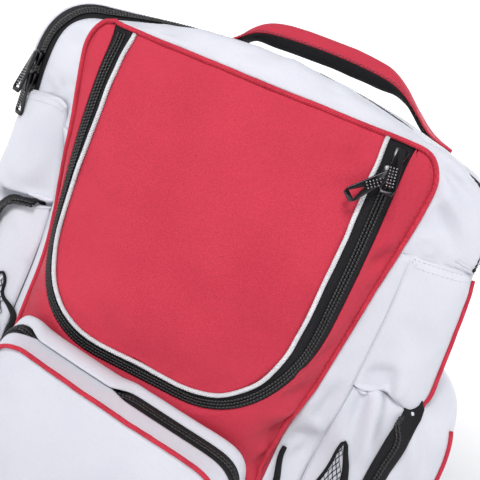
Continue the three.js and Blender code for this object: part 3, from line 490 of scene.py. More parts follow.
# A tape drawn in to a share of its width.
def narrowTape(obj, piece):
    middle = smoothPath(tapeLine(piece["node"], piece["centre"], piece["near"], 0.5), 1)
    tree = pointTree(list(enumerate(middle)))
    for v in obj.data.vertices:
        v.co = tree.find(v.co)[0].lerp(v.co, piece["narrow"])
    obj.data.update()


clothMesh = {"levels": 2, "foldLevels": 1, "letOutMm": 0.35}


def makeCloth(piece):
    node = piece["node"]
    face = outerFace(node, piece.get("centre", bodyCentre), piece.get("facing"), piece.get("strict", False))
    obj = objectFrom(face, piece["name"])
    refine(obj, clothMesh["levels"])
    if piece.get("narrow"):
        narrowTape(obj, piece)
    for carrier in piece.get("lieOn", []):
        lieOn(obj.data.vertices, carrier, piece["liftMm"])
    obj.data.update()
    if piece.get("settle"):
        fillOut(obj, piece["settle"])
    if piece.get("folds"):
        refine(obj, clothMesh["foldLevels"])
        crease(obj, piece["folds"])
    shape = bmesh.new()
    shape.from_mesh(obj.data)
    letOut(shape, piece.get("letOutMm", clothMesh["letOutMm"]), piece.get("tuckMm", 0))
    for roll in piece.get("rolls", []):
        rollEdge(shape, roll)
    drawCloth(shape, piece.get("pulls", []))
    shape.normal_update()
    shape.to_mesh(obj.data)
    surfaces[node] = shape
    thicken(obj, piece["thickMm"])
    dress(obj, piece["cloth"], piece["slot"], node)
    return obj


redSheet = {"cloth": redPolyester, "slot": "red_cloth", "thickMm": 1.6}
whiteSheet = {"cloth": whiteNylon, "slot": "white_cloth", "thickMm": 1.6}
blackSheet = {"cloth": blackPolyester, "slot": "black_cloth", "thickMm": 1.4}
tuckedTape = {"cloth": zipTape, "slot": "zip_tape", "thickMm": 1.4, "letOutMm": 1.8, "tuckMm": 1.2}
gentle = {"pressure": 2.2, "slack": 0.004, "stretch": 25, "bend": 1.2, "holdMm": 6, "capMm": 4}
calm = {"seed": 1, "hemMm": 9, "waveMm": 0.8, "waveSizeMm": 70, "creaseMm": 0.25, "creaseSizeMm": 24,
        "puckerMm": 0.5, "puckerSizeMm": 13}
loose = {"seed": 2, "hemMm": 7, "waveMm": 2.0, "waveSizeMm": 55, "creaseMm": 0.9, "creaseSizeMm": 26,
         "puckerMm": 1.1, "puckerSizeMm": 12}
tapeFolds = {**calm, "waveMm": 0.3, "puckerMm": 0.2}

waistPulls = [pull((112, -72, 214), (-2, 15, 0), 28)]  # drawn in above the right net

# Front of the bag
flapFolds = [
    fold((60, -74, 405), (86, -69, 414), 5, -3.2),
    fold((66, -72, 396), (88, -70, 404), 6, 2.2),
    fold((-75, -90, 330), (20, -95, 345), 14, 1.5),
    fold((-60, -90, 300), (60, -98, 290), 16, -1.3),
]
frontFlap = {**redSheet, "name": "flapCloth", "node": "front_flap", "settle": gentle,
             "folds": {**calm, "seed": 3, "waveMm": 2.4, "waveSizeMm": 95, "creaseMm": 0.5, "creaseSizeMm": 45,
                       "puckerMm": 0.9, "lines": flapFolds}}
makeCloth(frontFlap)
panelFolds = [
    fold((88, -84, 257), (101, -73, 263), 6, -4),
    fold((87, -87, 241), (101, -75, 247), 5, 3.2),
    fold((90, -84, 226), (101, -76, 232), 5, -4.2),
    fold((90, -83, 212), (99, -78, 216), 5, 3),
    fold((92, -83, 198), (98, -80, 204), 5, -3),
    fold((96, -78, 286), (106, -70, 296), 7, -2.6),
    fold((100, -76, 352), (115, -69, 361), 6, -3.2),
    fold((102, -76, 364), (115, -69, 372), 6, 2.4),
]
frontPanel = {**redSheet, "name": "borderCloth", "node": "front_panel", "pulls": waistPulls,
              "folds": {**loose, "seed": 4, "waveMm": 1.2, "creaseMm": 0.9, "hemMm": 5, "lines": panelFolds}}
makeCloth(frontPanel)
frontZip = {**tuckedTape, "name": "flapZipTape", "node": "front_zip", "folds": {**tapeFolds, "seed": 5}}
makeCloth(frontZip)
print("front made")

# Arches over the top, and the strips below them
shoulderPulls = [pull((125, -14, 427), (0, 0, -5.5), 24)]  # the right shoulder has sunk
archPulls = [  # slack cloth lies over the edge of the zip
    pull((-141, -43, 411), (-3.6, 1.2, 0.4), 15),
    pull((-141, -46, 393), (-3.6, 1.2, 0.2), 15),
    pull((-144, -46, 374), (-3.6, 1.2, 0), 15),
    pull((-145, -45, 358), (-3, 1, 0), 13),
    pull((-119, -61, 354), (1.4, 2.2, 0), 15),
]
archFolds = [
    fold((120, -62, 422), (145, -50, 410), 4, -3.4),
    fold((126, -61, 412), (149, -47, 388), 5, 2.8),
    fold((126, -61, 400), (143, -50, 379), 5, -3),
    fold((-140, -45, 402), (-120, -61, 408), 9, -2.6),
    fold((-138, -49, 380), (-122, -60, 385), 9, 2.2),
]
gussetFront = {**whiteSheet, "name": "frontGussetCloth", "node": "zip_gusset_front", "settle": gentle,
               "pulls": shoulderPulls + archPulls,
               "folds": {**calm, "seed": 6, "creaseMm": 0.9, "waveMm": 1.4, "puckerMm": 1.3, "puckerSizeMm": 9,
                         "hemMm": 4, "lines": archFolds}}
makeCloth(gussetFront)
gussetBack = {**whiteSheet, "name": "backGussetCloth", "node": "zip_gusset_back", "settle": gentle, "strict": True,
              "folds": {**calm, "seed": 7, "creaseMm": 0.5}, "pulls": shoulderPulls}
makeCloth(gussetBack)
mainZip = {**tuckedTape, "name": "mainZipTape", "node": "main_zip", "folds": {**tapeFolds, "seed": 8},
           "pulls": shoulderPulls}
makeCloth(mainZip)
stripFolds = {"left": [], "right": [  # drawn down towards the net pocket
    fold((120, -63, 268), (115, -67, 238), 5, -4.5),
    fold((109, -71, 240), (124, -65, 233), 4, 2.8),
    fold((105, -73, 221), (117, -68, 227), 3.5, -3.6),
    fold((106, -73, 213), (120, -67, 217), 4, 2.4),
    fold((124, -64, 232), (111, -70, 202), 4, -4),
]}
for side, seed in (("left", 9), ("right", 10)):
    strip = {**whiteSheet, "name": "stripCloth" + side.capitalize(), "node": "front_strip_" + side,
             "letOutMm": 0.7, "pulls": waistPulls,
             "folds": {**loose, "seed": seed, "waveMm": 1.4, "creaseMm": 1.2, "hemMm": 3, "lines": stripFolds[side]}}
    makeCloth(strip)
    wall = {**whiteSheet, "name": "sideCloth" + side.capitalize(), "node": "side_panel_" + side,
            "folds": {**calm, "seed": seed + 2}, "pulls": waistPulls}
    makeCloth(wall)
print("arches and walls made")

# Side pockets
pocketPulls = {  # hems that droop, and pocket tops drawn up under them
    "left": {"upper": [pull((-118, -54, 301), (0, 1, -6), 19),
                       pull((-150, -48, 295), (0, 0, -6), 19),
                       pull((-161, -37, 350), (-0.7, -1, 6), 24),  # top edge, over the arch
                       pull((-139, -50, 350), (-0.8, -1.2, 9), 24),
                       pull((-117, -62, 350), (-1, -1.6, 13), 24),
                       pull((-118, -61, 345), (-1.8, -2.8, 0), 20)],
             "lower": [pull((-126, -56, 283), (0, 2, 8), 22),
                       pull((-150, -54, 276), (0, 2, 6), 18)], "tape": []},
    "right": {"upper": [pull((134, -57, 277), (0, 0, -2.5), 12),
                        pull((146, -53, 279), (0, 4.2, 1), 6.5),  # dent in the hem
                        pull((153, -50, 279), (0, -3.2, -2), 6),
                        pull((166, -43, 272), (1, -2, -8), 11)],
              "lower": [pull((123, -58, 264), (0, 1, 6), 8),
                        pull((132, -54, 262), (0, 2, 10), 18),
                        pull((152, -50, 264), (0, 2, 10), 18),
                        pull((170, -42, 266), (0, 2, 7), 14)],
              "tape": [pull((161, -51, 270), (9, 12, -2), 13)]},
}
hemFolds = {"left": [
    fold((-112, -54, 306), (-150, -48, 300), 5, -1.6),
    fold((-116, -54, 330), (-140, -52, 308), 6, 1.8),
], "right": [
    fold((127, -60, 285), (149, -52, 289), 5, -3.4),
    fold((149, -52, 294), (157, -49, 276), 4, 3.4),
    fold((140, -54, 330), (160, -46, 300), 9, -1.8),
]}
pocketFolds = {"left": [], "right": [
    fold((131, -59, 263), (146, -57, 220), 4.5, -4.2),
    fold((139, -56, 268), (151, -56, 234), 5, 3.2),
    fold((148, -53, 266), (157, -53, 240), 5, -3),
    fold((178, -41, 255), (196, -36, 228), 6, -3.4),
    fold((170, -46, 258), (187, -42, 228), 6, 2.8),
]}
sideZips = {side: {"node": "lower_zip_" + side, "centre": (150 * sign, -10, 140), "near": (130 * sign, -60, 100)}
            for side, sign in (("left", -1), ("right", 1))}
for side, sign, seed in (("left", -1, 13), ("right", 1, 14)):
    upper = {**whiteSheet, "name": "upperPocketCloth" + side.capitalize(), "node": "upper_pocket_" + side,
             "thickMm": 1.5, "centre": (150 * sign, 0, 325), "settle": gentle, "letOutMm": 1.2,
             "folds": {**loose, "seed": seed, "waveMm": 1.4, "lines": hemFolds[side]},
             "pulls": pocketPulls[side]["upper"]}
    makeCloth(upper)
    lower = {**whiteSheet, "name": "lowerPocketCloth" + side.capitalize(), "node": "lower_pocket_" + side,
             "thickMm": 1.5, "centre": (155 * sign, 5, 140), "settle": gentle,
             "folds": {**loose, "seed": seed + 3, "waveMm": 1.6, "lines": pocketFolds[side]},
             "pulls": pocketPulls[side]["lower"] + waistPulls}
    makeCloth(lower)
    tape = {**sideZips[side], "name": "sideZipTape" + side.capitalize(), "cloth": zipTape, "slot": "zip_tape",
            "thickMm": 1.0, "narrow": 0.74, "lieOn": ["lower_pocket_" + side], "liftMm": 1.6,
            "pulls": pocketPulls[side]["lower"] + pocketPulls[side]["tape"]}
    makeCloth(tape)
print("side pockets made")

# Lower front pocket
pocketCentre = (0, -95, 115)
pocketFace = {**whiteSheet, "name": "pocketFaceCloth", "node": "pocket_face", "settle": gentle,
              "folds": {**calm, "seed": 21, "waveMm": 1.6}}
makeCloth(pocketFace)
pocketRolls = {  # the slack cloth closes over the zip on the left half of the pocket
    "pocket_gusset_rear": {"span": (-76, 8), "ease": 5, "aboveMm": 195, "edgeY": -111, "reachMm": 10,
                           "move": (0, -8.8, 0.7)},
    "pocket_gusset_front": {"span": (-76, 8), "ease": 5, "aboveMm": 195, "edgeY": -121, "reachMm": 8,
                            "move": (0, 4, 0)},
    "pocket_zip": {"span": (-80, 12), "ease": 5, "aboveMm": 195, "edgeY": -116, "reachMm": 14, "move": (0, 0, -4)},
}
for node, name, cloth, slotName, seed, letOutMm in (
    ("pocket_gusset_rear", "pocketRearCloth", whiteNylon, "white_cloth", 22, 0.35),
    ("pocket_gusset_front", "pocketFrontCloth", whiteNylon, "white_cloth", 23, 0.35),
    ("pocket_band", "pocketBandCloth", whiteNylon, "white_cloth", 24, 0.6),
    ("pocket_zip", "pocketZipTape", zipTape, "zip_tape", 25, 0.6),
):
    ring = {"name": name, "node": node, "cloth": cloth, "slot": slotName, "thickMm": 1.5, "centre": pocketCentre,
            "folds": {**calm, "seed": seed, "waveMm": 0.6}, "letOutMm": letOutMm,
            "rolls": [pocketRolls[node]] if node in pocketRolls else []}
    makeCloth(ring)
print("front pocket made")

capShare = 2.1  # an end cap's edges are no longer than this many radii


# Centre line of a cord node, ring by ring from one end.
def cordPath(node, radius):
    bm = nodeShape(node)
    capped = [f for f in bm.faces if max(e.calc_length() for e in f.edges) < capShare * radius * mm]
    first, reach = set(), [capped[0]]
    while reach:
        f = reach.pop()
        first.update(f.verts)
        capped.remove(f)
        reach += [g for e in f.edges for g in e.link_faces if g in capped and g not in reach]
    path, ring, seen = [], first, set(first)
    while ring:
        path.append(sum((v.co for v in ring), Vector()) / len(ring))
        ring = {e.other_vert(v) for v in ring for e in v.link_edges} - seen
        seen |= ring
    bm.free()
    return path


# A round section extruded along a path, one ring at a time.
def sweep(path, radii, sides):
    bm = bmesh.new()
    frames = []
    across = None
    for k, point in enumerate(path):
        along = (path[min(k + 1, len(path) - 1)] - path[max(k - 1, 0)]).normalized()
        across = along.orthogonal() if across is None else across - along * across.dot(along)
        across.normalize()
        turn = Matrix([across, along.cross(across), along]).transposed()
        frames.append(Matrix.Translation(point) @ turn.to_4x4() @ Matrix.Scale(radii[k] * mm, 4))
    bmesh.ops.create_circle(bm, cap_ends=True, segments=sides, radius=1, matrix=frames[0])
    edges = list(bm.edges)
    for was, now in zip(frames, frames[1:]):
        made = bmesh.ops.extrude_edge_only(bm, edges=edges)["geom"]
        edges = [g for g in made if isinstance(g, bmesh.types.BMEdge)]
        fresh = [g for g in made if isinstance(g, bmesh.types.BMVert)]
        bmesh.ops.transform(bm, matrix=now @ was.inverted(), verts=fresh)
    bmesh.ops.holes_fill(bm, edges=edges, sides=sides)
    bmesh.ops.recalc_face_normals(bm, faces=bm.faces)
    return bm


cordFit = {"besideMm": 9, "onlyMm": 4, "turn": 0.6, "apart": 0.3, "seat": 0.75}  # turn is a cosine, apart in steps
cordForm = {"kinkMm": 0.35, "kinkSizeMm": 18, "lump": 0.07, "lumpSizeMm": 7, "sides": 10}


# Seats a path on the cloth that carries it. Where the cloth turns away, the last good move is repeated.
def seatPath(path, piece):
    tree = surfaceOf(piece["lieOn"])
    last, seated = None, []
    for point in path:
        at, normal, _, away = tree.find_nearest(point)
        turned = last is not None and normal.dot(last[0]) < cordFit["turn"]
        if piece.get("seatedOnly") and (away > cordFit["onlyMm"] * mm or turned):
            continue
        if away > cordFit["besideMm"] * mm or turned:
            seated.append(point + last[1] if last else point)
            continue
        place = at + normal * piece["radiusMm"] * piece.get("seat", cordFit["seat"]) * mm
        last = (normal.copy(), place - point)
        seated.append(place)
    least = cordFit["apart"] * piece["stepMm"] * mm
    spread = seated[:1] + [p for p, q in zip(seated[1:], seated) if (p - q).length > least]
    return smoothPath(spread, piece["stepMm"])


def makeCord(piece):
    path = cordPath(piece["node"], piece["cadRadiusMm"])
    if piece.get("extendMm"):
        more = piece["extendMm"] * mm
        path.insert(0, path[0] + (path[0] - path[1]).normalized() * more)
        path.append(path[-1] + (path[-1] - path[-2]).normalized() * more)
    path = smoothPath(path, piece["stepMm"])
    shift = Vector(piece.get("shiftMm", (0, 0, 0))) * mm
    path = [drawn(p + shift, piece.get("pulls", [])) for p in path]
    if piece.get("layOn"):
        carriers = [surfaceOf(node) for node in piece["layOn"]]
        laid = [laidOn(p, carriers, piece["reachMm"], piece["liftMm"]) for p in path[::2]]
        path = smoothPath(laid, piece["stepMm"])
    if piece.get("lieOn"):
        path = seatPath(path, piece)
    kinks, seed = piece.get("kinkMm", cordForm["kinkMm"]) * mm, piece["seed"]
    path = [p + kinks * noise.noise_vector(p / (cordForm["kinkSizeMm"] * mm) + Vector((seed, 0, 0))) for p in path]
    lumps = [noise.noise(p / (cordForm["lumpSizeMm"] * mm) + Vector((0, seed, 0))) for p in path]
    radii = [piece["radiusMm"] * (1 + cordForm["lump"] * lump) for lump in lumps]
    if piece.get("swell"):  # share of the radius from one end to the other
        swell = piece["swell"]
        for k in range(len(radii)):
            at = k / (len(radii) - 1) * (len(swell) - 1)
            i = min(int(at), len(swell) - 2)
            radii[k] *= swell[i] + (swell[i + 1] - swell[i]) * (at - i)
    cord = objectFrom(sweep(path, radii, cordForm["sides"]), piece["name"])
    dress(cord, piece["cloth"], piece["slot"], piece["node"])


seamCord = {"cadRadiusMm": 1.9, "stepMm": 3, "cloth": redPiping, "slot": "red_cloth"}
sideCord = {"cadRadiusMm": 1.62, "radiusMm": 1.45, "stepMm": 2.5, "cloth": redPiping, "slot": "red_cloth"}
frontPiping = {**seamCord, "name": "borderPiping", "node": "front_piping", "radiusMm": 1.55, "seed": 1,
               "lieOn": "front_panel", "seat": 0.6}
makeCord(frontPiping)
flapPiping = {**seamCord, "name": "flapPiping", "node": "flap_piping", "radiusMm": 1.45, "cloth": whitePiping,
              "slot": "white_cloth", "seed": 2, "kinkMm": 0.6, "lieOn": "front_flap", "extendMm": 11}
makeCord(flapPiping)
pocketPiping = {**seamCord, "name": "pocketPiping", "node": "pocket_piping", "radiusMm": 1.5, "seed": 3,
                "lieOn": "pocket_face"}
makeCord(pocketPiping)
for side, seed in (("left", 4), ("right", 6)):
    upperPiping = {**sideCord, "name": "upperPiping" + side.capitalize(), "node": "upper_piping_" + side,
                   "seed": seed, "lieOn": "upper_pocket_" + side}
    if side == "left":  # lies further back than its node
        upperPiping.update({"shiftMm": (0, 15, 0), "seatedOnly": True})
    makeCord(upperPiping)
    lowerPiping = {**sideCord, "name": "lowerPiping" + side.capitalize(), "node": "lower_piping_" + side,
                   "seed": seed + 1, "lieOn": "lower_pocket_" + side}
    makeCord(lowerPiping)
print("piping made")

coilForm = {"swell": (0.45, 0.85, 1.0, 0.85), "apart": 1.7, "sides": 6}  # radius through one turn, rows apart in radii


# Zip coil: rows of teeth side by side, one swelling for each turn of the coil.
def makeCoil(piece):
    tree = surfaceOf(piece["node"])
    swell, radius = coilForm["swell"], piece["radiusMm"]
    step = piece["pitchMm"] / len(swell)
    path = smoothPath(tapeLine(piece["node"], piece["centre"], piece["near"], piece["share"]), step)
    trim = round(piece.get("trimMm", 0) / step)
    path = path[trim:len(path) - trim]
    coil = bmesh.new()
    for line in range(piece["rows"]):
        side = line - (piece["rows"] - 1) / 2
        row = []
        for k, point in enumerate(path):
            at, normal, _, _ = tree.find_nearest(point)
            along = path[min(k + 1, len(path) - 1)] - path[max(k - 1, 0)]
            across = normal.cross(along).normalized()
            row.append(at + normal * piece["liftMm"] * mm + across * side * radius * coilForm["apart"] * mm)
        shift = line % 2 * len(swell) // 2  # the rows mesh half a turn apart
        radii = [radius * swell[(k + shift) % len(swell)] for k in range(len(row))]
        teeth = sweep(row, radii, coilForm["sides"])
        part = bpy.data.meshes.new(piece["name"])
        teeth.to_mesh(part)
        teeth.free()
        coil.from_mesh(part)
        bpy.data.meshes.remove(part)
    dress(objectFrom(coil, piece["name"]), zipCoil, "zip_tape")


bodyCoil = {"centre": bodyCentre, "rows": 3, "pitchMm": 2.2}
pocketCoils = {"share": 0.5, "rows": 2, "pitchMm": 2.6, "radiusMm": 1.3, "liftMm": 0.2}
flapCoil = {**bodyCoil, "name": "flapZipCoil", "node": "front_zip", "near": (0, -95, 330), "share": 0.6,
            "radiusMm": 1.2, "liftMm": 0.3, "trimMm": 6}
makeCoil(flapCoil)
mainCoil = {**bodyCoil, "name": "mainZipCoil", "node": "main_zip", "near": (0, -60, 445), "share": 0.5,
            "radiusMm": 1.1, "liftMm": 0.8, "trimMm": 4}
makeCoil(mainCoil)
pocketCoil = {**pocketCoils, "name": "pocketZipCoil", "node": "pocket_zip", "centre": pocketCentre,
              "near": (0, -130, 220)}
makeCoil(pocketCoil)
for side in ("left", "right"):
    sideCoil = {**pocketCoils, **sideZips[side], "name": "sideZipCoil" + side.capitalize()}
    makeCoil(sideCoil)
print("zip coils made")

# Handle: red over black, padded where it is gripped
handleFolds = {**loose, "seed": 31, "waveMm": 0.6, "creaseMm": 0.4, "puckerMm": 0.5, "hemMm": 4}
handleTop = {**redSheet, "name": "handleRed", "node": "handle_top", "thickMm": 1.4, "centre": (18, 25, 300),
             "folds": handleFolds, "pulls": shoulderPulls}
makeCloth(handleTop)
handleLining = {**blackSheet, "name": "handleBlack", "node": "handle_lining", "centre": (18, 25, 700),
                "folds": {**handleFolds, "seed": 32}, "pulls": shoulderPulls}
makeCloth(handleLining)

# Padded back and the straps on it
backPad = {**blackSheet, "name": "backPad", "node": "back_panel", "thickMm": 5.5, "facing": (0, 1, 0),
           "settle": {**gentle, "pressure": 3, "capMm": 3}, "folds": {**calm, "seed": 33}}
makeCloth(backPad)
strapPads = {"joinBend": 0.6, "edgeBend": 0.9, "edgeSharp": 0.55, "levels": 3}  # bends in radians
for side in ("left", "right"):
    node = "shoulder_strap_" + side
    bm = nodeShape(node)
    joinTriangles(bm, strapPads["joinBend"])
    sharp = bm.edges.layers.float.new("crease_edge")
    for e in bm.edges:
        if e.calc_face_angle(0) > strapPads["edgeBend"]:
            e[sharp] = strapPads["edgeSharp"]
    strap = objectFrom(bm, "strapPad" + side.capitalize())
    refine(strap, strapPads["levels"])
    dress(strap, blackPolyester, "black_cloth", node)
print("handle, back and straps made")

flatBend = 0.02  # radians, faces closer than this to one plane become one face


def roundEdges(bm, far, segments):
    bmesh.ops.bevel(bm, geom=list(bm.edges), offset=far * mm, segments=segments, profile=0.5, affect="EDGES",
                    material=-1)


# Base: one stiff coated board with a rounded edge
baseBoard = {"name": "baseBoard", "edgeMm": 0.9}
bm = nodeShape("base_panel")
bmesh.ops.dissolve_limit(bm, angle_limit=flatBend, verts=bm.verts, edges=bm.edges)
roundEdges(bm, baseBoard["edgeMm"], 3)
dress(objectFrom(bm, baseBoard["name"]), blackPolyester, "black_cloth", "base_panel")


netFit = {"clearMm": 10, "bindingRadiusMm": 1.8, "mouthStepMm": 1, "mouthReachMm": 2.5}


# Mesh pockets: a knotted net of diamonds laid on the cloth, bound along its mouth
def makeNet(piece):
    bm = outerFace(piece["node"])
    drawCloth(bm, piece["pulls"])
    tree = BVHTree.FromBMesh(bm)
    out, up = Vector(piece["towards"]).normalized(), Vector((0, 0, 1))
    across = up.cross(out)
    spans = [sorted(v.co.dot(axis) for v in bm.verts) for axis in (across, up, out)]
    bm.free()
    wide, tall = (s[-1] - s[0] for s in spans[:2])
    middle = across * (spans[0][0] + wide / 2) + up * (spans[1][0] + tall / 2)
    middle += out * (spans[2][-1] + netFit["clearMm"] * mm)
    grid = Matrix([across * wide / 2, up * tall / 2, out]).transposed().to_4x4()
    net = bmesh.new()
    columns, rows = (round(s / (c * mm)) for s, c in zip((wide, tall), piece["cellMm"]))
    bmesh.ops.create_grid(net, x_segments=columns, y_segments=rows, size=1, matrix=Matrix.Translation(middle) @ grid)
    squares = list(net.edges)
    bmesh.ops.poke(net, faces=net.faces)
    bmesh.ops.dissolve_edges(net, edges=[e for e in squares if e.is_valid and not e.is_boundary])
    bound = smoothPath(cordPath(piece["binding"], netFit["bindingRadiusMm"]), netFit["mouthStepMm"])
    mouth = [drawn(p, piece["pulls"]) for p in bound]
    near = netFit["mouthReachMm"] * mm
    beside = []
    for v in net.verts:
        at = tree.ray_cast(v.co, -out)[0]
        if at is None or not any(p.z > at.z for p in mouth if abs((p - at).dot(across)) < near):
            beside.append(v)
        else:
            v.co = at
    bmesh.ops.delete(net, geom=beside, context="VERTS")
    carriers = [surfaceOf(node) for node in piece["lieOn"]]
    for v in net.verts:
        v.co = laidOn(v.co, carriers, piece["reachMm"], piece["liftMm"])
    print("net", piece["node"], "cells", len(net.faces), "strands", len(net.edges))
    obj = objectFrom(net, piece["name"])
    mod = obj.modifiers.new("strands", "WIREFRAME")
    mod.thickness = piece["strandMm"] * mm
    mod.use_even_offset = False
    dress(obj, blackPolyester, "black_mesh", piece["node"])


for side, sign, seed in (("left", -1, 8), ("right", 1, 9)):
    netPulls = waistPulls + [
        pull((140 * sign, -65, 206), (9 * sign, 4, 0), 26),  # slack towards the pocket
        pull((109 * sign, -72, 209), (-9 * sign, -1, 4), 12),
    ]
    net = {"name": "meshNet" + side.capitalize(), "node": "mesh_pocket_" + side, "binding": "mesh_binding_" + side,
           "towards": (0.4 * sign, -0.9, 0), "cellMm": (3.8, 6.2), "reachMm": 9, "liftMm": 0.8, "strandMm": 0.85,
           "lieOn": ["front_strip_" + side, "lower_pocket_" + side], "pulls": netPulls}
    makeNet(net)
    binding = {"name": "meshBinding" + side.capitalize(), "node": net["binding"], "cloth": blackPolyester,
               "slot": "black_cloth", "cadRadiusMm": netFit["bindingRadiusMm"], "radiusMm": 2.9, "stepMm": 2.5,
               "seed": seed, "layOn": net["lieOn"], "reachMm": 9, "liftMm": 1.2, "pulls": netPulls,
               "swell": (0.6, 1.0, 0.4, 0.35, 1.0, 1.0)}
    makeCord(binding)
print("net pockets made")


tabDots = {"columns": (-1, 0, 1), "columnMm": 1.7, "firstMm": 5.5, "rowMm": 2.0, "radiusMm": 0.62, "fineness": 2}
frontFirst = 1e-7  # square metres, settles a tie between a tab's two faces


# Zip sliders and pull tabs: cast pieces with rounded edges
def makeCast(piece):
    bm = nodeShape(piece["node"])
    bmesh.ops.dissolve_limit(bm, angle_limit=flatBend, verts=bm.verts, edges=bm.edges)
    face = max(bm.faces, key=lambda f: f.calc_area() + (f.normal.y < 0) * frontFirst)
    out, middle = face.normal.copy(), face.calc_center_median()
    far = max(bm.verts, key=lambda v: (v.co - middle).length).co
    down = (far - middle).normalized()
    along = (down - out * down.dot(out)).normalized()
    across = out.cross(along)
    top = min((v.co - middle).dot(along) for v in bm.verts)
    roundEdges(bm, piece["edgeMm"], 2)
    turn = Matrix([across, along, out]).transposed().to_4x4()
    dots = bmesh.new()
    for row in range(piece["dots"]):  # raised dots for grip, above the hole
        for column in tabDots["columns"]:
            at = middle + along * (top + (tabDots["firstMm"] + tabDots["rowMm"] * row) * mm)
            at += across * (column * tabDots["columnMm"] * mm)
            bmesh.ops.create_icosphere(dots, subdivisions=tabDots["fineness"], radius=tabDots["radiusMm"] * mm,
                                       matrix=Matrix.Translation(at) @ turn)
    if piece["dots"]:
        # the dots are drawn in light metal: a painted highlight on each dot
        dress(objectFrom(dots, piece["name"] + "_dots"), dotHighlightZinc, "zip_metal")
    else:
        dots.free()
    dress(objectFrom(bm, piece["name"]), blackZinc, "zip_metal", piece["node"])


for node in ("front_slider_upper", "front_slider_lower", "main_slider_upper", "main_slider_lower",
             "side_slider_left", "side_slider_right", "pocket_slider"):
    makeCast({"name": node + "_cast", "node": node, "edgeMm": 0.5, "dots": 0})
for node in ("front_tab_upper", "front_tab_lower", "main_tab_upper", "main_tab_lower"):
    makeCast({"name": node + "_cast", "node": node, "edgeMm": 0.35, "dots": 7})
print("zip pulls made")


stitchForm = {"pitchMm": 3.4, "lengthMm": 2.4, "widthMm": 0.7, "heightMm": 0.5, "liftMm": 0.1}
stitchFit = {"everywhere": ((-300, -300, 0), (300, 300, 600)), "longestMm": 20, "shortest": 1e-7, "topSlope": -0.5,
             "clearMm": 9}


# Rows of stitches along a piece's seams, each stitch a short flattened bead of thread
def makeStitches(piece):
    shape = surfaces[piece["node"]]
    tree = surfaceOf(piece["node"])
    beside = surfaceOf(piece["clearOf"]) if piece.get("clearOf") else None
    low, high = (Vector(c) * mm for c in piece.get("within", stitchFit["everywhere"]))
    rim = dict.fromkeys(e for e in shape.edges if e.is_boundary)  # in the mesh's own order, the same each run
    bm = bmesh.new()
    slant = piece.get("zigzag", 0.0)
    while rim:
        step = rim.popitem()[0]
        chain = [step.verts[0], step.verts[1]]
        while step:
            step = next((e for e in chain[-1].link_edges if e in rim), None)
            if step:
                del rim[step]
                chain.append(step.other_vert(chain[-1]))
        inset = []
        for k, v in enumerate(chain):
            along = (chain[min(k + 1, len(chain) - 1)].co - chain[max(k - 1, 0)].co).normalized()
            into = sum((f.calc_center_median() - v.co for f in v.link_faces), Vector())
            into = (into - along * into.dot(along)).normalized()
            inset.append((v.co + into * piece["insetMm"] * mm, into))
        walked = 0.0
        for (p, into), (q, _) in zip(inset, inset[1:]):
            run = (q - p).length
            if run > stitchFit["longestMm"] * mm or run < stitchFit["shortest"]:
                continue
            if piece.get("topOnly") and into.z > stitchFit["topSlope"]:
                continue
            while walked < run:
                at, normal, _, _ = tree.find_nearest(p.lerp(q, walked / run))
                walked += piece.get("pitchMm", stitchForm["pitchMm"]) * mm
                slant = -slant
                if not all(l <= c <= h for l, c, h in zip(low, at, high)):
                    continue
                if beside and beside.find_nearest(at)[3] < stitchFit["clearMm"] * mm:
                    continue
                ahead = (q - p).normalized()
                along = (ahead + normal.cross(ahead) * slant).normalized()
                lie = Matrix([along, normal.cross(along), normal]).transposed().to_4x4()
                sizes = (piece.get(key, stitchForm[key]) * mm for key in ("lengthMm", "widthMm", "heightMm"))
                put = Matrix.Translation(at + normal * stitchForm["liftMm"] * mm) @ lie @ Matrix.Diagonal((*sizes, 1))
                bmesh.ops.create_icosphere(bm, subdivisions=1, radius=0.5, matrix=put)
            walked -= run
    dress(objectFrom(bm, piece["name"]), piece["thread"], piece["slot"])


whiteThread = {"thread": threads["white"], "slot": "white_cloth"}
borderStitch = {"name": "borderStitches", "node": "front_panel", "insetMm": 3.2, "thread": threads["red"],
                "slot": "red_cloth", "clearOf": "front_zip"}
makeStitches(borderStitch)
for side in ("left", "right"):
    for row, inset in (("A", 2.4), ("B", 7.0)):
        topStitch = {**whiteThread, "name": "upperStitches" + side.capitalize() + row, "node": "upper_pocket_" + side,
                     "insetMm": inset, "within": ((-220, -140, 335), (220, 140, 400)), "topOnly": True}
        makeStitches(topStitch)
for node, front, back in (("zip_gusset_front", -49, 200), ("zip_gusset_back", -60, 20)):
    gussetStitch = {**whiteThread, "name": node + "_stitches", "node": node, "insetMm": 2.4,
                    "within": ((-300, front, 352), (300, back, 600))}
    makeStitches(gussetStitch)
handleStitch = {"name": "handleStitches", "node": "handle_top", "insetMm": 1.0, "pitchMm": 2.6, "lengthMm": 2.6,
                "thread": threads["black"], "slot": "black_cloth", "within": ((-60, -20, 430), (90, 22, 480)),
                "zigzag": 0.7}
makeStitches(handleStitch)
print("stitches made")

# Camera at the photograph's viewing angle
camera = bpy.data.objects.new("camera", bpy.data.cameras.new("camera"))
bpy.context.scene.collection.objects.link(camera)
cameraPlace = {"at": (118.1, -503.5, 468.4), "right": (0.8905, 0.297, 0.3446), "up": (-0.4091, 0.1919, 0.8921),
               "forward": (-0.1988, 0.9354, -0.2924), "lensMm": 55.5, "sensorMm": 36, "nearestM": 0.01}
turned = Matrix([cameraPlace["right"], cameraPlace["up"], [-c for c in cameraPlace["forward"]]]).transposed()
camera.matrix_world = Matrix.Translation(Vector(cameraPlace["at"]) * mm) @ turned.to_4x4()
camera.data.lens = cameraPlace["lensMm"]
camera.data.sensor_width = cameraPlace["sensorMm"]
camera.data.clip_start = cameraPlace["nearestM"]
bpy.context.scene.camera = camera

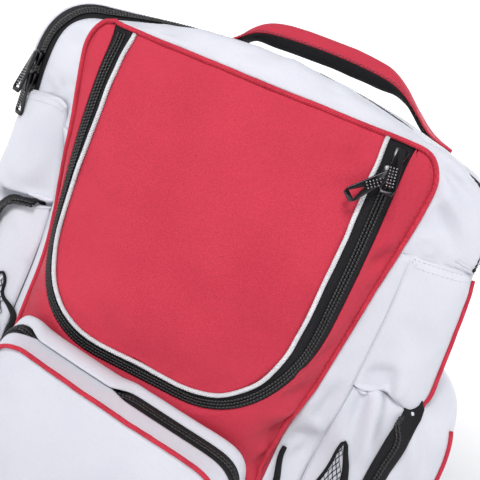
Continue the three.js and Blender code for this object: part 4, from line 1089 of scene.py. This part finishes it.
# Plain pale floor that curves up all round, and soft studio light
floorLook = {"colour": "#c4c4c6", "roughness": 0.9, "glow": "#ffffff", "glowFrom": 0.35, "glowTo": 1.35,
             "glowMost": 0.9}
floorMaterial, floorTree, floorShader = startMaterial("floorPaper", {
    "Base Color": linear(floorLook["colour"]), "Roughness": floorLook["roughness"],
    "Emission Color": linear(floorLook["glow"]),
})
far = addNode(floorTree, "ShaderNodeVectorMath", {"operation": "LENGTH"},
              {0: addNode(floorTree, "ShaderNodeTexCoord").outputs["Object"]}).outputs["Value"]
glow = addNode(floorTree, "ShaderNodeMapRange", {  # backlit further out, in metres
    1: floorLook["glowFrom"], 2: floorLook["glowTo"], 3: 0.0, 4: floorLook["glowMost"],
}, {0: far})
floorTree.links.new(glow.outputs[0], floorShader.inputs["Emission Strength"])
floorForm = {"radiusHeight": ((0, 0), (1.5, 0), (3.0, 0), (3.8, 0.12), (4.4, 0.6), (4.7, 1.8)), "steps": 64,
             "weld": 0.0001, "looksDown": -0.5}  # metres, and the height of a normal
bm = bmesh.new()
profile = [bm.verts.new((radius, 0, height)) for radius, height in floorForm["radiusHeight"]]
lines = [bm.edges.new(pair) for pair in zip(profile, profile[1:])]
bmesh.ops.spin(bm, geom=profile + lines, axis=(0, 0, 1), cent=(0, 0, 0), steps=floorForm["steps"],
               angle=2 * math.pi, use_merge=True)
bmesh.ops.remove_doubles(bm, verts=bm.verts, dist=floorForm["weld"])
bmesh.ops.recalc_face_normals(bm, faces=bm.faces)
bmesh.ops.reverse_faces(bm, faces=[f for f in bm.faces if f.normal.z < floorForm["looksDown"]])
floor = objectFrom(bm, "floor")
floor.data.materials.append(floorMaterial)
floor.data.polygons.foreach_set("use_smooth", [True] * len(floor.data.polygons))
studio = {"colour": "#f1f2fd", "strength": 0.2, "aim": (0, 0, 0.28)}
world = bpy.data.worlds.new("studio")
bpy.context.scene.world = world
world.use_nodes = True
sky = world.node_tree.nodes["Background"].inputs
sky["Color"].default_value = linear(studio["colour"])
sky["Strength"].default_value = studio["strength"]
for name, light in {
    "key": {"at": (-0.15, -1.7, 2.2), "size": 0.8, "watts": 52},
    "back": {"at": (0.4, 2.4, 1.1), "size": 1.6, "watts": 30},
    "right": {"at": (1.9, 0.5, 1.0), "size": 1.4, "watts": 10},
    "left": {"at": (-1.8, 1.0, 1.0), "size": 1.4, "watts": 11},
    "top": {"at": (0.1, 0.5, 2.2), "size": 1.6, "watts": 1.5},
}.items():
    lamp = bpy.data.lights.new(name, "AREA")
    lamp.size = light["size"]
    lamp.energy = light["watts"]
    holder = bpy.data.objects.new(name, lamp)
    bpy.context.scene.collection.objects.link(holder)
    holder.location = light["at"]
    holder.rotation_euler = (Vector(studio["aim"]) - holder.location).to_track_quat("-Z", "Y").to_euler()
bpy.context.scene.view_settings.view_transform = "Standard"
print("camera and light set")
